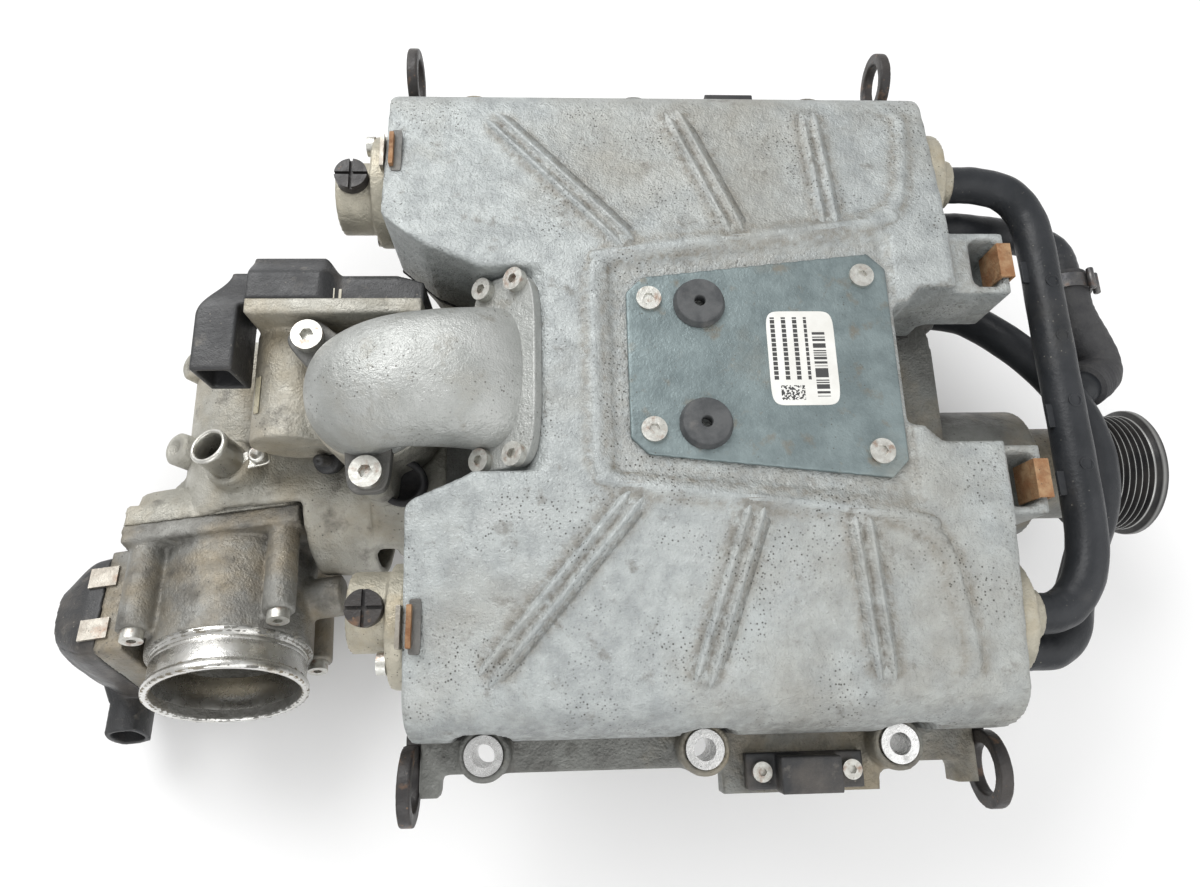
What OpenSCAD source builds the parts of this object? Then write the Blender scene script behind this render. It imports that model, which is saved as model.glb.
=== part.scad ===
// Supercharger module for the valley of a V engine: a twin-rotor blower with two charge
// coolers under one cast cover, a bypass valve, a throttle valve and its coolant pipes.
// +X points to the drive pulley, +Y across the engine, +Z up. The origin is the centre of
// the mounting-bolt pattern, in the plane where the module sits on the cylinder heads.

/* [Cover and mounting flange] */
// Top face of the cover above the mounting plane
cover_top = 77; // [70:0.5:92]
// Half width of the cover at its foot
cover_reach = 163; // [150:0.5:196]
// Front edge of the cover, midway between its two wings
cover_front = 141; // [136:0.5:150]
// Thickness of the mounting flange
flange_t = 14; // [11:0.5:18]
// Half width over the mounting flange
flange_lip = 15; // [12:0.5:20]
// Wall of the cover
cover_wall = 5; // [4:0.1:6]
// Thickness of the cover gasket
gasket_t = 1;
gasket_lap = 7; // [0.5:0.1:1.5]

/* [Mounting bolts] */
// Distance between the two outer bolts of a row
bolt_span = 190; // [150:1:200]
// Shift of each row along the engine, from the offset of the two cylinder banks
bank_shift = 5; // [0:0.5:8]
// Bore of the steel bush for each bolt
bush_bore = 10; // [8:0.1:12]
// Outside of the steel bush
bush_od = 17.6; // [15:0.1:19]
// Top of the bolt bosses above the mounting plane
boss_top = 30; // [22:0.5:34]

/* [Rotors] */
// Distance between the two rotor axes
rotor_gap = 56; // [54:0.5:58]
// Length of the rotors
rotor_len = 205; // [170:1:206]
// Height of the rotor axes, below the mounting plane
rotor_z = -31.5; // [-38:0.5:-30.5]
// Twist of each rotor over its length
rotor_twist = 120; // [60:1:160]
// Clearance between the rotors and round them
rotor_play = 0.5; // [0.3:0.05:0.8]
// Wall of the rotor case
case_wall = 6; // [4:0.1:8]
// Rotor shaft diameter
shaft_d = 17; // [14:0.1:18]
// Teeth of each timing gear
timing_teeth = 28; // [20:1:36]

/* [Drive] */
// Outside radius of the pulley's grooves
pulley_r = 33; // [31:0.1:40]
// Number of belt grooves
pulley_grooves = 6; // [4:1:7]
// Pitch of the belt grooves
groove_pitch = 3.56; // [3.4:0.01:3.7]
// Front face of the pulley
pulley_front = 277; // [274:0.5:290]
// Radius of the wide part of the drive housing
snout_r = 36; // [34:0.1:38]

/* [Bypass valve] */
// Bore of the bypass valve
bypass_bore = 50; // [40:0.5:51]
// Outside diameter of the elbow pipe where it stands on the valve
elbow_od = 60; // [58:0.5:64]
// Height of the joint between the elbow and the valve
bypass_top = 45; // [43:0.5:48]
// Tilt of the elbow's seat on the cover
seat_tilt = 35; // [34:0.5:36]

/* [Throttle] */
// Bore of the throttle
throttle_bore = 72; // [60:0.5:72.5]
// Outside diameter of the throttle's spigot
spigot_od = 76; // [75.5:0.5:80]
// Upward tilt of the throttle's mouth
mouth_tilt = 19.4; // [17:0.1:22]
// Turn of the throttle's mouth about the vertical
mouth_turn = 6.8; // [5:0.1:8]
// Largest opening of the throttle plate
throttle_open = 84; // [60:1:86]

/* [Coolant] */
// Outside diameter of the coolant pipes
pipe_od = 19; // [16:0.1:19.5]
// Wall of the coolant pipes
pipe_wall = 2.5; // [1.5:0.1:3]

/* [Hidden] */
$fn = 48;

// Small clearances shared by many pieces
eps = 0.01;
run_fit = 0.05;
gap = 0.3;
over = 1;

// Mounting flange and cover
flange_reach = cover_reach + flange_lip;
bolt_y = flange_reach - 9;
boss_r = bush_od / 2 + 3.2;
cover_z0 = flange_t + gasket_t;
rear_mid_x = -93;
mid_half_y = 50;
knee_x = -118;
knee_y = 61;
wing_slope = 9;
slope_y0 = 66;
edge_y = 25;
notch_x = 104;
notch_in_y = 30;
notch_out_y = 38;
notch_step = 14;
flange_back = -126;
flange_ahead = 4;
tray_floor = 6;
port_x = [-70, 5, 80];
port_y = 122;
port_len = 44;
port_w = 30;
seat_x = rear_mid_x + 34;
seat_len = 41;
seat_half_y = 49;
seat_mid = -21;
seat_port_r = 14;
plate_x0 = -23;
plate_x1 = 101;
plate_half_rear = 43;
plate_half_front = 55;
plate_t = 2.5;
plate_recess = 2.7;
recess_gap = 8;
tower_x1 = cover_front + 25;
tower_y0 = 38.3;
tower_y1 = 70.9;
tower_top = cover_top - 7.6;
tower_z0 = 30;
window_x0 = cover_front + 7;
window_x1 = tower_x1 - 4;
window_wall = 4;
rib_h = 2.5;
rib_w = 8;
damper_holes = [[-12.4, 31.7], [88.9, 43]];
grommet_x = 11;
grommet_y = 29.1;
grommet_r = 12.3;
grommet_h = 4;
grommet_bore = 5.2;

// Rotors and their case
axis_y = rotor_gap / 2;
pitch_r = rotor_gap / 2;
lobes = 4;
roll_r = pitch_r / (2 * lobes);
tip_r = pitch_r + 2 * roll_r;
chamber_r = tip_r;
case_r = chamber_r + case_wall;
case_x0 = -112;
rear_wall_t = 10;
chamber_x0 = case_x0 + rear_wall_t;
rotor_x0 = chamber_x0 + gap;
case_x1 = chamber_x0 + rotor_len + 2 * gap + 0.4;
shaft_r = shaft_d / 2;
bearing_r = 17;
bearing_w = 10;
race_t = 2.4;
bearing_boss_r = bearing_r + 4;
plate_x1b = case_x1 + bearing_w;
gear_x0 = plate_x1b + 4;
gear_w = 14;
gear_case_x1 = plate_x1b + 36;
gear_module = rotor_gap / timing_teeth;
gear_case_r = pitch_r + gear_module + 8.5;
coupling_x0 = gear_x0 + gear_w + 8;
coupling_t = 10;
coupling_r = 21;
flange_disc_t = 4;
coupling_pins = 3;
coupling_pin_r = 3;
coupling_pin_ring = 15;
snout_x1 = 205;
nose_x1 = pulley_front - 30;
nose_r = 26;
front_bearing_x = snout_x1 - 25;
nose_bearing_x = nose_x1 - 19;
seal_w = 7;
seal_gap = 0.05;
pulley_w = pulley_grooves * groove_pitch + 12;
pulley_x0 = pulley_front - pulley_w;
pulley_rim_t = 3;
pulley_lip = 3;
groove_depth = 2.6;
hub_r = 14;
web_t = 6;

// Bypass valve and its elbow
bypass_x = -144;
bypass_y = -5;
bypass_r = bypass_bore / 2;
elbow_r = elbow_od / 2;
elbow_z = bypass_top + 15;
run_r = 22.5;
run_side = 10.5;
run_z = bypass_top + 23.2;
elbow_wall = 4.5;
foot_t = 6;
foot_bolts = [[-174, 24], [-143, -43.5]];
foot_z0 = 12;
bypass_z0 = 6;
bypass_wall = 6;
flap_z = 28;
flap_t = 2.5;
motor_x = -187;
motor_z = 20;
motor_r = 21;
gearbox_y = 34;
gearbox_x0 = -204;
gearbox_x1 = -120;
gearbox_z0 = 4;
gearbox_z1 = 58;
gearbox_base = 8;
gearbox_cover = 26;
gearbox_nose = 18;
plug_w = 20;
plug_gap = 5;
cover_shell = 2.5;

// Gear train of both valves: pinion, idler and final gear
train_module = 1;
pinion_teeth = 12;
idler_big = 36;
idler_small = 14;
final_teeth = 36;
train_w = 6;
train_step = 8;
pinion_reach = train_module * (pinion_teeth + idler_big) / 2;
final_reach = train_module * (idler_small + final_teeth) / 2;
pin_r = 3;

// Throttle and inlet
mouth = [-225, -141, -23.5];
spigot_len = 20;
throttle_len = 82;
throttle_r = throttle_bore / 2;
throttle_body_r = throttle_r + 5;
throttle_shaft_z = -48;
throttle_shaft_r = 5;
disc_t = 2.5;
disc_play = 0.15;
screw_x = 35;
screw_y = 35;
screw_boss = 56;
case_z0 = -79;
case_z1 = -22;
case_y0 = -62;
case_y1 = 26;
case_face = -58;
cover_out = -84;
throttle_motor_y = -47;
throttle_motor_r = 8;
adapter_x = -222;
adapter_z = -42;
chamber_len = 45;
duct_y = -42;
duct_z = -40;
duct_r = 36;
adapter_wall = 4;
hood_x0 = -152;
nozzle_base = [-219, -30, -14];
nozzle_tip = [-230, -20, 20];
nozzle_start = 0.55;
nozzle_r = 10;
nozzle_bore = 15;

// Charge coolers
cooler_y = 106;
cooler_half = 31;
cooler_z0 = 20;
cooler_z1 = 58;
cooler_x0 = -106;
cooler_x1 = 126;
cap_z = 40;
cap_r = 28;
cap_screw_ring = 23.5;
cap_screw_turns = [45, -45, -130];
cap_t = 8;
front_cap_y = 113;
port_up = [113, 45];
port_low = [[99, 22], [-129, 24]];
socket_r = 12.5;
socket_len = 9;
rear_cap_y = [110, -112];
rear_boss_r = 18;
rear_boss_len = 18;
bleed_r = 5;
bleed_head = 8;

// Pipe routes, as points along each centre line
pipe_r = pipe_od / 2;
pipe_seat = 3;
hose_wall = 2.5;
pipe_sides = 14;
hose_r = pipe_r / cos(180 / pipe_sides) + 2 * run_fit + hose_wall;
function front_x(side) = cover_front - side * bank_shift;
function pipe_start(side) = front_x(side) + cap_t + pipe_seat;
upper_route = [[pipe_start(1), 113, 45], [pipe_start(1) + 12, 113, 45], [170, 113, 45], [185, 108, 45], [194, 96, 45],
    [197, 78, 45], [197, 40, 45], [197, 0, 45], [197, -40, 45], [196, -76, 45],
    [191, -96, 45], [182, -108, 45], [173, -113, 45], [166, -113, 45], [pipe_start(-1), -113, 45]];
lower_route = [[151, 62, -6], [158, 62, -6], [164, 61, -5], [177, 54, 2], [192, 38, 10], [209, 18, 14],
    [222, -5, 16], [228, -30, 16], [225, -55, 16], [213, -80, 16], [202, -103, 17],
    [194, -120, 21], [183, -128, 24], [174, -129, 24], [166, -129, 24], [pipe_start(-1), -129, 24]];
branch_route = [[pipe_start(1), 99, 22], [pipe_start(1) + 12, 99, 22], [170, 99, 22], [200, 99, 16],
    [218, 98, 11], [229, 92, 10], [232, 82, 10], [232, 72, 10], [232, 62, 10]];
hose_route = [[232, 76, 10], [232, 69, 10], [232, 62, 10], [234, 52, 9], [240, 42, 6], [246, 32, 3],
    [247, 22, 3], [243, 17.3, 4.8], [238, 14, 7], [233, 10.7, 9.3]];
stub_from = [220, 2, 15];
stub_to = [238, 14, 7];

// Straight solids along each axis
module rod_x(r, x0, x1, y, z) { translate([x0, y, z]) rotate([0, 90, 0]) cylinder(r = r, h = x1 - x0); }
module rod_y(r, y0, y1, x, z) { translate([x, y0, z]) rotate([-90, 0, 0]) cylinder(r = r, h = y1 - y0); }
module rod_z(r, z0, z1, x, y) { translate([x, y, z0]) cylinder(r = r, h = z1 - z0); }
module slab(x0, x1, y0, y1, z0, z1) { translate([x0, y0, z0]) cube([x1 - x0, y1 - y0, z1 - z0]); }
module rod_between(a, b, r) {
    d = b - a;
    translate(a) rotate([0, acos(d[2] / norm(d)), atan2(d[1], d[0])]) cylinder(r = r, h = norm(d));
}

// Two joined cylinders round the rotor axes
module twin_case(r, x0, x1) {
    for (s = [-1, 1]) rod_x(r, x0, x1, s * axis_y, rotor_z);
    slab(x0, x1, -axis_y, axis_y, rotor_z - r, rotor_z + r);
}

// Moves a shape into the elbow's tilted seat plane, with its normal along local Z
module on_seat() { translate([seat_x, 0, cover_top]) rotate([0, -seat_tilt, 0]) children(); }

// Moves a shape to the throttle: local Z leaves the mouth, local X follows the shaft
module on_throttle() { translate(mouth) rotate([90 - mouth_tilt, 0, mouth_turn]) children(); }

// A smooth curve through route points, by Catmull-Rom segments
function curve_at(p, i, t) =
    let (a = p[max(i - 1, 0)], b = p[i], c = p[i + 1], d = p[min(i + 2, len(p) - 1)])
    0.5 * (2 * b + (c - a) * t + (2 * a - 5 * b + 4 * c - d) * t * t
        + (3 * b - a - 3 * c + d) * t * t * t);
function smooth_route(p, n) = concat(
    [for (i = [0 : len(p) - 2]) for (k = [0 : n - 1]) curve_at(p, i, k / n)], [p[len(p) - 1]]);
function unit(v) = v / norm(v);
function heading(p, i) = unit(p[min(i + 1, len(p) - 1)] - p[max(i - 1, 0)]);

// A hollow pipe swept along a route that stays near one plane
module pipe(route, r, wall, sides = pipe_sides) {
    p = smooth_route(route, 2);
    n = len(p);
    function ring_at(i, rr) = let (t = heading(p, i), u = unit(cross([0, 0, 1], t)), v = cross(t, u))
        [for (k = [0 : sides - 1]) p[i] + rr * (u * cos(360 * k / sides) + v * sin(360 * k / sides))];
    outer = [for (i = [0 : n - 1]) each ring_at(i, r)];
    inner = [for (i = [0 : n - 1]) each ring_at(i, r - wall)];
    m = n * sides;
    function at(i, k, base) = base + i * sides + k % sides;
    faces = concat(
        [for (i = [0 : n - 2]) for (k = [0 : sides - 1])
            [at(i, k, 0), at(i + 1, k, 0), at(i + 1, k + 1, 0), at(i, k + 1, 0)]],
        [for (i = [0 : n - 2]) for (k = [0 : sides - 1])
            [at(i, k, m), at(i, k + 1, m), at(i + 1, k + 1, m), at(i + 1, k, m)]],
        [for (k = [0 : sides - 1]) [at(0, k, 0), at(0, k + 1, 0), at(0, k + 1, m), at(0, k, m)]],
        [for (k = [0 : sides - 1])
            [at(n - 1, k, 0), at(n - 1, k, m), at(n - 1, k + 1, m), at(n - 1, k + 1, 0)]]);
    polyhedron(points = concat(outer, inner), faces = faces, convexity = 10);
}

// Involute gear outline with a 25 degree pressure angle and stub teeth
function involute(base, a) = base * [cos(a) + a * PI / 180 * sin(a), sin(a) - a * PI / 180 * cos(a)];
function turn2(p, a) = [p[0] * cos(a) - p[1] * sin(a), p[0] * sin(a) + p[1] * cos(a)];
module gear_outline(teeth, mod, backlash = 0.12) {
    pr = teeth * mod / 2;
    base = pr * cos(25);
    tip = pr + 0.8 * mod;
    root = pr - 1.05 * mod;
    lead_p = sqrt(pow(pr / base, 2) - 1) * 180 / PI;
    half = 90 / teeth - backlash / pr * 90 / PI;
    offset_a = half + lead_p - atan(lead_p * PI / 180);
    lead_tip = sqrt(pow(tip / base, 2) - 1) * 180 / PI;
    flank = [for (k = [0 : 4]) turn2(involute(base, lead_tip * k / 4), -offset_a)];
    foot = root * [cos(-offset_a), sin(-offset_a)];
    tooth = concat([foot], [for (q = flank) if (norm(q) > root) q]);
    mirrored = [for (k = [len(tooth) - 1 : -1 : 0]) [tooth[k][0], -tooth[k][1]]];
    polygon([for (i = [0 : teeth - 1]) each [for (q = concat(tooth, mirrored)) turn2(q, 360 * i / teeth)]]);
}
// Turn that brings a gear into mesh with one turned by rot, seen in direction phi
function mesh_turn(phi, n1, n2, rot) = phi * (1 + n1 / n2) + 180 - rot * n1 / n2 - 180 / n2;
// Idler centre from the pinion and final gear centres
function idler_at(p, s) =
    let (d = norm(s - p), a = (pinion_reach * pinion_reach - final_reach * final_reach + d * d) / (2 * d),
        h = sqrt(pinion_reach * pinion_reach - a * a), u = (s - p) / d)
    p + u * a + [-u[1], u[0]] * h;
function heading2(a, b) = atan2(b[1] - a[1], b[0] - a[0]);

module pinion_gear(p) { translate(p) linear_extrude(train_w) difference() {
    gear_outline(pinion_teeth, train_module);
    circle(r = pin_r - 1);
} }
module idler_gear(p, s) {
    c = idler_at(p, s);
    turn_big = mesh_turn(heading2(p, c), pinion_teeth, idler_big, 0);
    translate(c) difference() {
        union() {
            rotate(turn_big) linear_extrude(train_w) gear_outline(idler_big, train_module);
            translate([0, 0, train_w - eps]) rotate(turn_big)
                linear_extrude(train_step + train_w - train_w + eps) gear_outline(idler_small, train_module);
        }
        translate([0, 0, -over]) cylinder(r = pin_r + run_fit, h = 3 * train_w + train_step);
    }
}
module final_gear(p, s, hole_r) {
    c = idler_at(p, s);
    turn_big = mesh_turn(heading2(p, c), pinion_teeth, idler_big, 0);
    turn_end = mesh_turn(heading2(c, s), idler_small, final_teeth, turn_big);
    translate([s[0], s[1], train_step]) difference() {
        rotate(turn_end) linear_extrude(train_w - gap) gear_outline(final_teeth, train_module);
        translate([0, 0, -over]) cylinder(r = hole_r, h = train_w + 2 * over);
    }
}

// Bolt places of one bank, side 1 or -1
function bolt_xs(side) = [-bolt_span / 2 - side * bank_shift, -side * 2 * bank_shift,
    bolt_span / 2 - side * bank_shift];
function wing_rear(side) = side > 0 ? -138 : -121;
function wing_inner(side) = side > 0 ? 78 : 64;
function flange_front(side) = front_x(side) - flange_ahead;
function flange_rear(side) = flange_back - side * bank_shift;

function cover_half(side, k) = [
    [rear_mid_x + k, 0], [rear_mid_x + k, mid_half_y + k], [knee_x + k, knee_y + k],
    [wing_rear(side) + k, wing_inner(side) + k], [wing_rear(side) + k, cover_reach - k],
    [front_x(side) - k, cover_reach - k], [front_x(side) - k, notch_out_y + k],
    [notch_x + notch_step - k, notch_out_y + k], [notch_x + 6 - k, notch_in_y + k],
    [notch_x - k, notch_in_y + k], [notch_x - k, 0]];
module cover_outline(k) {
    for (s = [-1, 1]) polygon([for (q = cover_half(s, k)) [q[0], s * q[1]]]);
}
// Cross-section of the cover: a flat middle, sloping wings and curved outer walls
module cover_section(k) {
    edge_z = cover_top - wing_slope;
    curve_h = edge_z - boss_top - 4;
    side_pts = [for (a = [0 : 15 : 90]) [cover_reach - k - edge_y * (1 - pow(cos(a), 0.8)),
        boss_top + 4 - k + curve_h * pow(sin(a), 1.15)]];
    half_pts = concat([[cover_reach - k, 0]], side_pts, [[slope_y0, cover_top - k]]);
    polygon(concat(half_pts, [for (i = [len(half_pts) - 1 : -1 : 0]) [-half_pts[i][0], half_pts[i][1]]]));
}
module cover_block(k, z0) {
    intersection() {
        translate([0, 0, z0]) linear_extrude(cover_top) cover_outline(k);
        translate([-200, 0, 0]) rotate([90, 0, 90]) linear_extrude(400) cover_section(k);
    }
}
module above_seat(drop) {
    on_seat() translate([-seat_len - 20, -seat_half_y - drop, -drop])
        cube([seat_len + 20 + drop, 2 * (seat_half_y + drop), 60]);
}
// A rib on a wing, laid along the wing's slope
module rib(a, b, side) {
    d = b - a;
    fall = atan(wing_slope / (cover_reach - edge_y - slope_y0)) * abs(d[1]) / norm(d);
    translate([a[0], a[1], cover_top - 2]) rotate(atan2(d[1], d[0])) rotate([0, fall, 0])
        translate([0, -rib_w / 2, 0]) cube([norm(d), rib_w, rib_h + 1]);
}

module tray_outline() {
    for (s = [-1, 1]) polygon([for (q = [[case_x0, 0], [case_x0, mid_half_y + 4],
        [wing_rear(s), wing_inner(s) + 8], [wing_rear(s), cover_reach], [flange_rear(s), cover_reach],
        [flange_rear(s), flange_reach], [flange_front(s), flange_reach], [flange_front(s), notch_out_y],
        [notch_x, notch_in_y], [notch_x, 0]]) [q[0], s * q[1]]]);
}
module intake_port(x, y, z0, z1) {
    for (s = [-1, 1]) rod_z(port_w / 2, z0, z1, x + s * (port_len - port_w) / 2, y);
    slab(x - (port_len - port_w) / 2, x + (port_len - port_w) / 2, y - port_w / 2, y + port_w / 2, z0, z1);
}

module blower_housing() color("#8d9190") difference() {
    union() {
        twin_case(case_r, case_x0, case_x1);
        linear_extrude(flange_t) tray_outline();
        for (s = [-1, 1]) for (x = bolt_xs(s)) rod_z(boss_r, 0, boss_top - gap, x, s * bolt_y);
        slab(20, 95, -flange_reach - 12, -flange_reach + 4, 0, flange_t);
        slab(25, 66, flange_reach - 4, flange_reach + 12, 0, flange_t);
        for (s = [-1, 1]) for (x = [flange_rear(s), flange_front(s) - 10])
            slab(x, x + 10, s * flange_reach - 10, s * flange_reach + 8, 0, flange_t);
    }
    twin_case(gear_case_r + 4 + gap, case_x1, gear_case_x1 + 20);
    twin_case(chamber_r, chamber_x0, case_x1 + over);
    translate([0, 0, rotor_z]) linear_extrude(flange_t - rotor_z + over)
        polygon([[case_x1 - 8, -30], [case_x1 - 8, 30], [case_x1 - 90, 6], [case_x1 - 90, -6]]);
    for (s = [-1, 1]) {
        slab(cooler_x0 - 4, cooler_x1 + 4, s * cooler_y - cooler_half - 4, s * cooler_y + cooler_half + 4,
            tray_floor, flange_t + over);
        for (x = port_x) intake_port(x, s * port_y, -over, flange_t);
        for (x = bolt_xs(s)) rod_z(bush_od / 2, -over, boss_top + over, x, s * bolt_y);
        rod_x(bearing_r, case_x0 - over, chamber_x0 + over, s * axis_y, rotor_z);
        difference() {
            rod_x(chamber_r - 2, case_x0 - over, chamber_x0 + over, s * axis_y, rotor_z);
            rod_x(bearing_boss_r, case_x0 - 2 * over, chamber_x0 + 2 * over, s * axis_y, rotor_z);
            slab(case_x0 - 2 * over, chamber_x0 + 2 * over, -100, 100, rotor_z - 4, rotor_z + 4);
            slab(case_x0 - 2 * over, chamber_x0 + 2 * over, s * axis_y - 4, s * axis_y + 4,
                rotor_z - 50, rotor_z + 50);
        }
    }
}

module cover_gasket() color("#3c3c3a") difference() {
    translate([0, 0, flange_t]) linear_extrude(gasket_t) difference() {
        cover_outline(0);
        cover_outline(cover_wall + gasket_lap);
    }
    boss_reliefs();
}
// Room for the bolt bosses, which stand partly inside the cover's outer wall
module boss_reliefs() for (s = [-1, 1]) for (x = bolt_xs(s)) rod_z(boss_r + gap, -over, boss_top + gap, x, s * bolt_y);

module top_cover() color("#b9bdbc") difference() {
    union() {
        difference() {
            cover_block(0, cover_z0);
            above_seat(0);
        }
        for (s = [-1, 1]) {
            rib([-24, s * 64], [-81, s * 130], s);
            rib([30, s * 70], [6, s * 136], s);
            rib([77, s * 74], [75, s * 136], s);
            slab(front_x(s) - 3, tower_x1, min(s * tower_y0, s * tower_y1), max(s * tower_y0, s * tower_y1),
                tower_z0, tower_top);
        }
    }
    difference() {
        cover_block(cover_wall, cover_z0 - over);
        above_seat(cover_wall);
    }
    translate([0, 0, cover_top - plate_recess]) linear_extrude(20)
        polygon([[plate_x0 - recess_gap, -plate_half_rear - recess_gap],
            [plate_x0 - recess_gap, plate_half_rear + recess_gap], [notch_x + over, plate_half_front + recess_gap + 3],
            [notch_x + over, -plate_half_front - recess_gap - 3]]);
    on_seat() translate([seat_mid, 0, -cover_wall - 3]) cylinder(r = seat_port_r, h = 20);
    for (s = [-1, 1]) {
        slab(window_x0, window_x1, min(s * (tower_y0 + window_wall), s * (tower_y1 - window_wall)),
            max(s * (tower_y0 + window_wall), s * (tower_y1 - window_wall)), tower_z0 - over, tower_top + over);
        rod_x(22, front_x(s) - cover_wall - over, front_x(s) + over, s * front_cap_y, cap_z);
        for (q = damper_holes) rod_z(2.5, cover_top - 20, cover_top + over, q[0], s * q[1]);
    }
    boss_reliefs();
    on_seat() for (q = seat_bolts) translate([q[0], q[1], -8]) cylinder(r = 3.1, h = 10);
    rod_x(22, wing_rear(1) - over, wing_rear(1) + cover_wall + over, rear_cap_y[0], cap_z);
    rod_x(22, wing_rear(-1) - over, wing_rear(-1) + cover_wall + over, rear_cap_y[1], cap_z);
}

module damper_plate() color("#6f7570") difference() {
    translate([0, 0, cover_top - plate_recess]) linear_extrude(plate_t) polygon([
        [plate_x0 + 8, -plate_half_rear], [plate_x0, -plate_half_rear + 8],
        [plate_x0, plate_half_rear - 8], [plate_x0 + 8, plate_half_rear],
        [plate_x1 - 8, plate_half_front], [plate_x1, plate_half_front - 8],
        [plate_x1, -plate_half_front + 8], [plate_x1 - 8, -plate_half_front]]);
    for (s = [-1, 1]) {
        for (q = damper_holes) rod_z(3.2, 0, cover_top + over, q[0], s * q[1]);
        rod_z(grommet_bore / 2 + 3, 0, cover_top + over, grommet_x, s * grommet_y);
    }
}

module torx_screw(head_r, head_h, shank_r, shank_len) difference() {
    union() {
        cylinder(r = head_r, h = head_h);
        translate([0, 0, -shank_len]) cylinder(r = shank_r, h = shank_len + eps);
    }
    translate([0, 0, head_h / 3]) cylinder(r = head_r * 0.45, h = head_h, $fn = 6);
}

module damper_screws() color("#c9cbc7")
    for (s = [-1, 1]) for (q = damper_holes)
        translate([q[0], s * q[1], cover_top - plate_recess + plate_t]) torx_screw(5.8, 1.6, 2.4, 12);

module cover_grommets() color("#2c2d2f")
    for (s = [-1, 1]) translate([grommet_x, s * grommet_y, cover_top - plate_recess + plate_t]) difference() {
        union() {
            cylinder(r1 = grommet_r, r2 = grommet_r - 1.5, h = grommet_h);
            translate([0, 0, -plate_t]) cylinder(r = grommet_bore / 2 + 2.9, h = plate_t + eps);
        }
        translate([0, 0, -plate_t - over]) cylinder(r = grommet_bore / 2, h = grommet_h + plate_t + 2 * over);
    }

module charge_coolers() color("#a9adad") for (s = [-1, 1]) {
    y0 = s * cooler_y - cooler_half;
    y1 = s * cooler_y + cooler_half;
    slab(cooler_x0, cooler_x0 + 14, y0, y1, cooler_z0, cooler_z1);
    slab(cooler_x1 - 14, cooler_x1, y0, y1, cooler_z0, cooler_z1);
    for (k = [0 : 6]) slab(cooler_x0 + 13, cooler_x1 - 13, y0 + 1 + k * 9.6, y0 + 3.4 + k * 9.6, cooler_z0, cooler_z1);
    for (k = [1 : 9]) slab(cooler_x0 + k * 23.2, cooler_x0 + k * 23.2 + 0.8, y0, y1, cooler_z0 + 4, cooler_z1 - 4);
    rod_x(17, wing_rear(s) + 0.5, cooler_x0 + 1, rear_cap_y[s > 0 ? 0 : 1], cap_z - 2);
    rod_x(18, cooler_x1 - 1, front_x(s) - 0.5, s * front_cap_y, cap_z - 2);
}

module rear_cap(side, y) {
    x1 = wing_rear(side);
    difference() {
        union() {
            rod_x(cap_r, x1 - cap_t, x1, y, cap_z);
            rod_x(rear_boss_r, x1 - cap_t - rear_boss_len, x1 - cap_t + eps, y + side * -6, cap_z + 4);
        }
        rod_z(bleed_r, cap_z + 4, cap_z + 60, x1 - cap_t - rear_boss_len / 2, y + side * -6);
        for (a = cap_screw_turns) rod_x(3.2, x1 - cap_t - over, x1 + over,
            y + side * cap_screw_ring * cos(a), cap_z + cap_screw_ring * sin(a));
    }
}
module rear_cooler_cap_left() color("#b3aa96") rear_cap(1, rear_cap_y[0]);
module rear_cooler_cap_right() color("#b3aa96") rear_cap(-1, rear_cap_y[1]);

module front_cooler_caps() color("#8a8d8c") for (s = [-1, 1]) {
    low = port_low[s > 0 ? 0 : 1];
    x0 = front_x(s);
    difference() {
        union() {
            rod_x(cap_r, x0, x0 + cap_t, s * front_cap_y, cap_z);
            rod_x(socket_r, x0, x0 + cap_t + socket_len, s * port_up[0], port_up[1]);
            rod_x(socket_r, x0, x0 + cap_t + socket_len, low[0], low[1]);
        }
        rod_x(pipe_r + run_fit, pipe_start(s), x0 + 40, s * port_up[0], port_up[1]);
        rod_x(pipe_r + run_fit, pipe_start(s), x0 + 40, low[0], low[1]);
        rod_x(pipe_r - pipe_wall, x0 - over, pipe_start(s) + eps, s * port_up[0], port_up[1]);
        rod_x(pipe_r - pipe_wall, x0 - over, pipe_start(s) + eps, low[0], low[1]);
    }
}

module cooler_cap_screws() color("#9b9a95") for (s = [-1, 1])
    for (a = cap_screw_turns) translate([wing_rear(s) - cap_t, rear_cap_y[s > 0 ? 0 : 1] + s * cap_screw_ring * cos(a),
        cap_z + cap_screw_ring * sin(a)]) rotate([0, -90, 0]) torx_screw(5, 4, 3, cap_t);

module bleed_screws() color("#1d1d1e") for (s = [-1, 1])
    translate([wing_rear(s) - cap_t - rear_boss_len / 2, rear_cap_y[s > 0 ? 0 : 1] - s * 6, cap_z + 4 + rear_boss_r])
        difference() {
            union() {
                cylinder(r = bleed_head, h = 6);
                translate([0, 0, -12]) cylinder(r = bleed_r, h = 12 + eps);
            }
            translate([-bleed_head, -0.8, 4]) cube([2 * bleed_head, 1.6, 3]);
            translate([-0.8, -bleed_head, 4]) cube([1.6, 2 * bleed_head, 3]);
        }

module bearing_plate() color("#7f8382") difference() {
    twin_case(case_r, case_x1, plate_x1b);
    for (s = [-1, 1]) rod_x(bearing_r, case_x1 - over, plate_x1b + over, s * axis_y, rotor_z);
    for (q = case_bolts) rod_x(3.2, case_x1 - over, plate_x1b + over, q[0], q[1]);
}
case_bolts = [for (s = [-1, 1]) for (a = [-62, 0, 62])
    [s * (axis_y + (case_r - 4) * cos(a)), rotor_z + (case_r - 4) * sin(a)]];

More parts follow.
